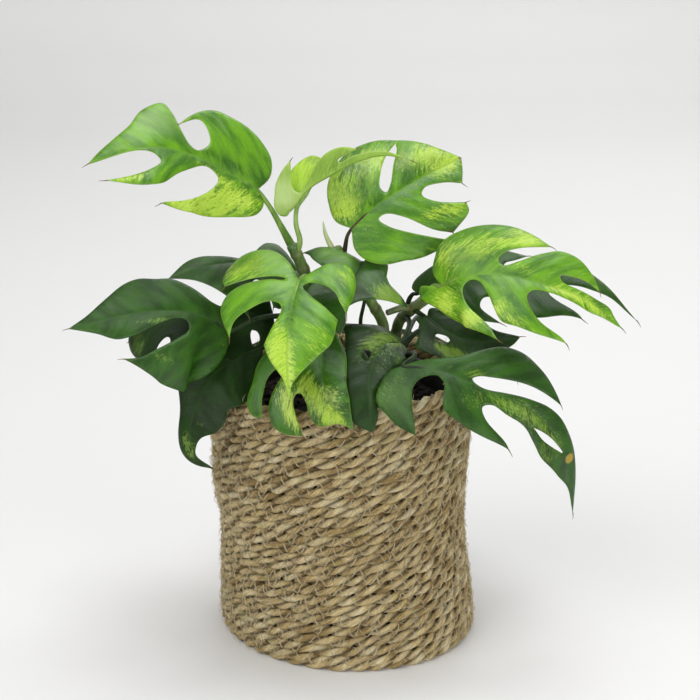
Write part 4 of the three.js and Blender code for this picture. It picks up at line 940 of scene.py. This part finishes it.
def even_ring(strokes):
    """Points about EDGE_STEP apart round the strokes, with each lobe's point kept."""
    ring, start = [], strokes[0][0]
    for stroke in strokes:
        points = stroke if stroke[0] == start else [start, *stroke]
        line = catmull_rom(points, 12)[:, :2]
        length = np.concatenate([[0], np.cumsum(np.linalg.norm(np.diff(line, axis=0), axis=1))])
        count = max(2, int(round(length[-1] / EDGE_STEP)))
        places = np.linspace(0, length[-1], count + 1)[:-1]
        ring.append(np.stack([np.interp(places, length, line[:, k]) for k in (0, 1)], 1))
        start = points[-1]
    return np.vstack(ring)


def inside_ring(ring, points):
    x, y = points[:, 0], points[:, 1]
    inside = np.zeros(len(points), bool)
    for a, b in zip(ring, np.roll(ring, -1, 0)):
        if a[1] != b[1]:
            spans = (a[1] > y) != (b[1] > y)
            inside ^= spans & (x < a[0] + (y - a[1]) * (b[0] - a[0]) / (b[1] - a[1]))
    return inside


def on_blade(rings, points):
    """Whether points lie inside the first ring and outside the holes."""
    outside = [~inside_ring(ring, points) for ring in rings]
    return np.all([~outside[0], *outside[1:]], 0)


def edge_distance(rings, points):
    """Distance of each point from the nearest edge of the blade."""
    a = np.vstack(rings)
    d = np.vstack([np.roll(ring, -1, 0) for ring in rings]) - a
    size = np.maximum(np.sum(d * d, 1), 1e-9)
    best = []
    for first in range(0, len(points), BATCH):
        p = points[first:first + BATCH, None]
        share = np.clip(np.sum((p - a) * d, 2) / size, 0, 1)
        best.append(np.linalg.norm(p - a - share[..., None] * d, axis=2).min(1))
    return np.concatenate(best)


def blade_mesh(strokes, holes):
    """Flat points (s, t), their distance from the edge, and triangles."""
    rings = [even_ring(strokes)] + [even_ring([[*hole, hole[0]]]) for hole in holes]
    low, high = rings[0].min(0) - 2, rings[0].max(0) + 2
    row_gap = GRID * GRID_ROW
    columns = np.arange(low[0], high[0], GRID)
    points = np.concatenate([
        np.stack([columns + (row % 2) * GRID / 2, np.full(len(columns), row * GRID * GRID_ROW)], 1)
        for row in np.arange(math.floor(low[1] / row_gap), math.ceil(high[1] / row_gap) + 1)
    ])
    rib = np.arange(low[0], high[0], RIB_STEP)
    fine = [np.stack([rib, np.full_like(rib, t)], 1) for t in RIB_LINES]
    points = np.vstack([points[np.abs(points[:, 1]) > 2.0], *fine])
    points = points[on_blade(rings, points)]
    points = points[edge_distance(rings, points) > EDGE_STEP / 2]
    edges, first = [], 0
    for ring in rings:
        index = np.arange(first, first + len(ring))
        edges += list(zip(index.tolist(), np.roll(index, -1).tolist()))
        first += len(ring)
    result = delaunay_2d_cdt([tuple(p) for p in np.vstack([*rings, points]).tolist()], edges, [], 0, 1e-6)
    flat, triangles = np.array([tuple(v) for v in result[0]]), np.array(result[2])
    triangles = triangles[on_blade(rings, flat[triangles].mean(1))]
    a, b, c = (flat[triangles[:, k]] for k in range(3))
    turn = (b[:, 0] - a[:, 0]) * (c[:, 1] - a[:, 1]) - (b[:, 1] - a[:, 1]) * (c[:, 0] - a[:, 0])
    return flat, edge_distance(rings, flat), np.where(turn[:, None] > 0, triangles, triangles[:, ::-1])


def border_edges(triangles):
    """Directed edges that only one triangle has."""
    pairs = np.vstack([triangles[:, [0, 1]], triangles[:, [1, 2]], triangles[:, [2, 0]]])
    known = {tuple(p) for p in pairs.tolist()}
    return [p for p in known if (p[1], p[0]) not in known]


def relief(s, t, start, edge, seed):
    """How far the upper side stands off the sheet in soft quilting and a gentle wave, and how much of a
    point is midrib and side vein. start is where on the midrib a point's side vein begins."""
    phase = start / VEIN_SPACING + 0.12 * np.sin(start * 0.21 + seed)
    ridge = np.abs((phase + 0.5) % 1.0 - 0.5) * 2
    quilt = (np.cos(ridge * math.pi) * -0.5 + 0.5)
    quilt = quilt * smooth(edge, 0.3, 5) * smooth(np.abs(t), 0.5, 6)
    wave = 0.35 * np.sin(s * 0.13 + seed) * np.sin(t * 0.17 + 1.7 * seed) * smooth(np.abs(t), 3, 14)
    vein = bell(ridge, 0.16) * smooth(np.abs(t), 0.5, 4) * smooth(edge, 0.4, 5)
    return QUILT_HEIGHT * quilt + wave, bell(t, 1.0), vein


def mark_at(s, t, marks):
    """How strong one kind of mark is at each point."""
    value = np.zeros(len(s))
    for mark_s, mark_t, reach_s, reach_t, strength in listed(marks):
        value += strength * np.exp(-(((s - mark_s) / reach_s) ** 2) - (((t - mark_t) / reach_t) ** 2))
    return np.clip(value, 0, 1.5)


def drip_tips(sheet, strokes, seed):
    """A thin curled tail at the point of each sharp lobe."""
    rng = np.random.default_rng(int(seed * 10))
    tails = []
    for number, stroke in enumerate(strokes):
        end = np.array(stroke[-1])
        beside = (stroke[-2], strokes[(number + 1) % len(strokes)][1])
        heading = sum((end - point) / max(np.linalg.norm(end - point), 1e-6) for point in beside)
        sharp = np.linalg.norm(heading)
        if sharp < LEAST_SHARP:
            continue
        heading = heading / sharp
        reach, curl = rng.uniform(2.2, 3.6), rng.uniform(-0.7, 0.7)
        place = end - heading
        N = sheet.normal_at(*place)
        ahead = unit(sheet.at(*(end + heading)) - sheet.at(*place))
        share = np.linspace(0, 1, 6)[:, None]
        path = sheet.at(*place) + ahead * (share * (reach + 1.0))
        path = path - N * (share ** 2 * 0.9) + np.cross(N, ahead) * (share ** 2 * curl * 1.3)
        tails.append(tube(path, 0.32 * (1 - 0.7 * share[:, 0]), 6))
    return tails


def petiole(leaf, sheet):
    """The leaf's stalk, which thins out under the midrib."""
    first, last = leaf["radii"]
    below = [sheet.at(s, 0.0) - sheet.normal_at(s, 0.0) * depth * last
             for s, depth in ((0.0, 0.75), (7.0, 0.62), (15.0, 0.25))]
    path = catmull_rom([*listed(leaf["petiole"]), *below], 12)
    share = np.linspace(0, 1, len(path))
    radius = first + (last - first) * smooth(share, 0, 0.55)
    return tube(path, radius * (1 - 0.72 * smooth(share, 0.86, 1)), 14)


def add_leaves():
    blades = {tone: leaf_material(f"{tone}_leaf", *palette) for tone, palette in PALETTES.items()}
    stalks = {tone: stalk_material(f"{tone}_stalk", *greens) for tone, greens in STALKS.items()}
    stalks["painted_shade"] = stalks["deep"]
    for number, (name, leaf) in enumerate(LEAVES.items()):
        tone, lean = leaf.get("tone", "deep"), leaf.get("lean", 0.75)
        seed = 1.7 * number + 0.4
        sheet = Sheet(leaf)
        strokes, holes = outline_of(leaf)
        flat, edge, triangles = blade_mesh(strokes, holes)
        s, t = flat.T
        out, count = np.abs(t), len(flat)
        start = s - out * lean - VEIN_CURVE * out ** 2
        height, groove, vein = relief(s, t, start, edge, seed)
        N = sheet.normal_at(s, t)
        middle = sheet.at(s, t) + N * height[:, None]
        thick = 0.10 + 0.16 * smooth(edge, 0, 1.6)
        top = middle + N * (thick - 0.22 * groove - 0.10 * vein)[:, None]
        under = middle - N * (thick + 0.55 * groove * smooth(edge, 0, 6) + 0.16 * vein)[:, None]
        faces = [*triangles.tolist(), *(triangles[:, ::-1] + count).tolist()]
        faces += [(a, a + count, b + count, b) for a, b in border_edges(triangles)]
        # What the material needs: the place along and among the side veins, and each kind of mark
        lay = [start, out * math.hypot(1, lean) + np.where(t >= 0, 0.0, 60.0), np.full(count, seed * 11.0)]
        attributes = {"lay": np.stack(lay, 1), "edge": edge, "rib": out, "vein": vein}
        for kind in MARKS:
            attributes[kind] = mark_at(s, t, leaf.get(kind, "")) + leaf.get("overall", {}).get(kind, 0)
        tips = join(drip_tips(sheet, strokes, seed))
        stalk = petiole(leaf, sheet)
        rest = len(tips[0]) + len(stalk[0])
        for key, value in attributes.items():
            attributes[key] = np.concatenate([value, value, np.zeros((rest, *value.shape[1:]))])
        attributes["under"] = np.repeat([0.0, 1.0, 0.0], [count, count, rest])
        attributes["brown"][2 * count:2 * count + len(tips[0])] = 1.0
        slots = np.repeat([0, 1], [len(faces) + len(tips[1]), len(stalk[1])])
        used = [blades[tone], stalks[leaf.get("stalk", tone)]]
        shape = join([(np.vstack([top, under]), faces), tips, stalk])
        make_piece(f"{name}_blade", shape, used, name, slots, attributes)


def leaf_material(name, greens, roughness, specular, subsurface, streak_share, rib_share, under_share):
    c = dict(zip(GREENS, listed(greens)))
    n = Paint(name, c["mid"], roughness, Specular_IOR_Level=specular, Subsurface_Weight=subsurface,
              Subsurface_Radius=(0.6, 1.0, 0.2), Subsurface_Scale=0.0012)
    lay = n.attribute("lay", "Vector")
    broad = n.noise(lay, (0.11, 0.05, 1), 3)
    lines = n.noise(lay, (0.62, 0.13, 1), 5, 0.68, 0.5)
    spots = n.noise(lay, (0.85, 0.55, 1), 5, 0.75, 0.6)
    grain = n.noise(lay, (3.2, 2.6, 1), 3)
    mark = {kind: n.attribute(kind) for kind in (*MARKS, "rib", "vein", "edge", "under")}
    # Light marks: a paler green wash, partly painted highlight
    light = n.math("MULTIPLY", mark["light"], n.math("ADD", n.math("MULTIPLY", lines, 0.6), 0.3))
    dark = n.math("MULTIPLY", mark["dark"], n.ramp(lines, 0.36, 0.62))
    # Yellow-green marbling that follows the side veins, and finer flecks
    streak = n.ramp(n.sum((mark["streak"], 0.24), (lines, 0.85), (spots, 0.65)), 0.86, 1.16)
    marbling = n.mix(n.ramp(grain, 0.45, 0.65), c["streak"], c["fleck"])
    fleck = n.ramp(n.sum((mark["fleck"], 0.20), (spots, 0.9)), 0.66, 0.82)
    colour = n.layers(
        n.mix(n.ramp(broad, 0.34, 0.66), c["dark"], c["mid"]),
        (n.ramp(grain, 0.4, 0.75), 0.22, c["light"]),
        (n.math("MINIMUM", light, 0.8), 1, c["light"]),
        (streak, streak_share, marbling),
        (fleck, 0.65, c["fleck"]),
        (n.math("MINIMUM", dark, 0.9), 1, c["deep"]),
        (n.ramp(mark["rib"], 0.35, 1.15, 1, 0), rib_share, c["rib"]),
        (mark["vein"], 0.13, c["rib"]),
        (n.ramp(mark["edge"], 0.1, 0.8, 1, 0), 0.4, c["margin"]),
        (n.ramp(n.sum((mark["brown"], 1), (spots, 0.3)), 0.55, 0.8), 1, BROWN),
        (n.ramp(mark["spot"], 0.5, 1.0), 0.8, OCHRE),
        (mark["under"], under_share, c["under"]),
    )
    gloss = n.sum((spots, 0.14), (mark["under"], 0.22))
    n.set(Base_Color=colour, Roughness=n.math("ADD", gloss, roughness - 0.07),
          Normal=n.bump(n.sum((lines, 0.5), (grain, 0.35)), 0.00035, 0.8))
    return n.material


def stalk_material(name, dark, light):
    n = Paint(name, light, 0.45, Specular_IOR_Level=0.25)
    place = n.place()
    mottle = n.ramp(n.noise(place, (220, 220, 90), 3), 0.35, 0.68)
    n.set(Base_Color=n.mix(mottle, dark, light), Normal=n.bump(n.noise(place, 1600, 2), 0.00015))
    return n.material


add_camera()
add_stage()
add_basket()
add_pot()
add_soil()
add_stems()
add_leaves()
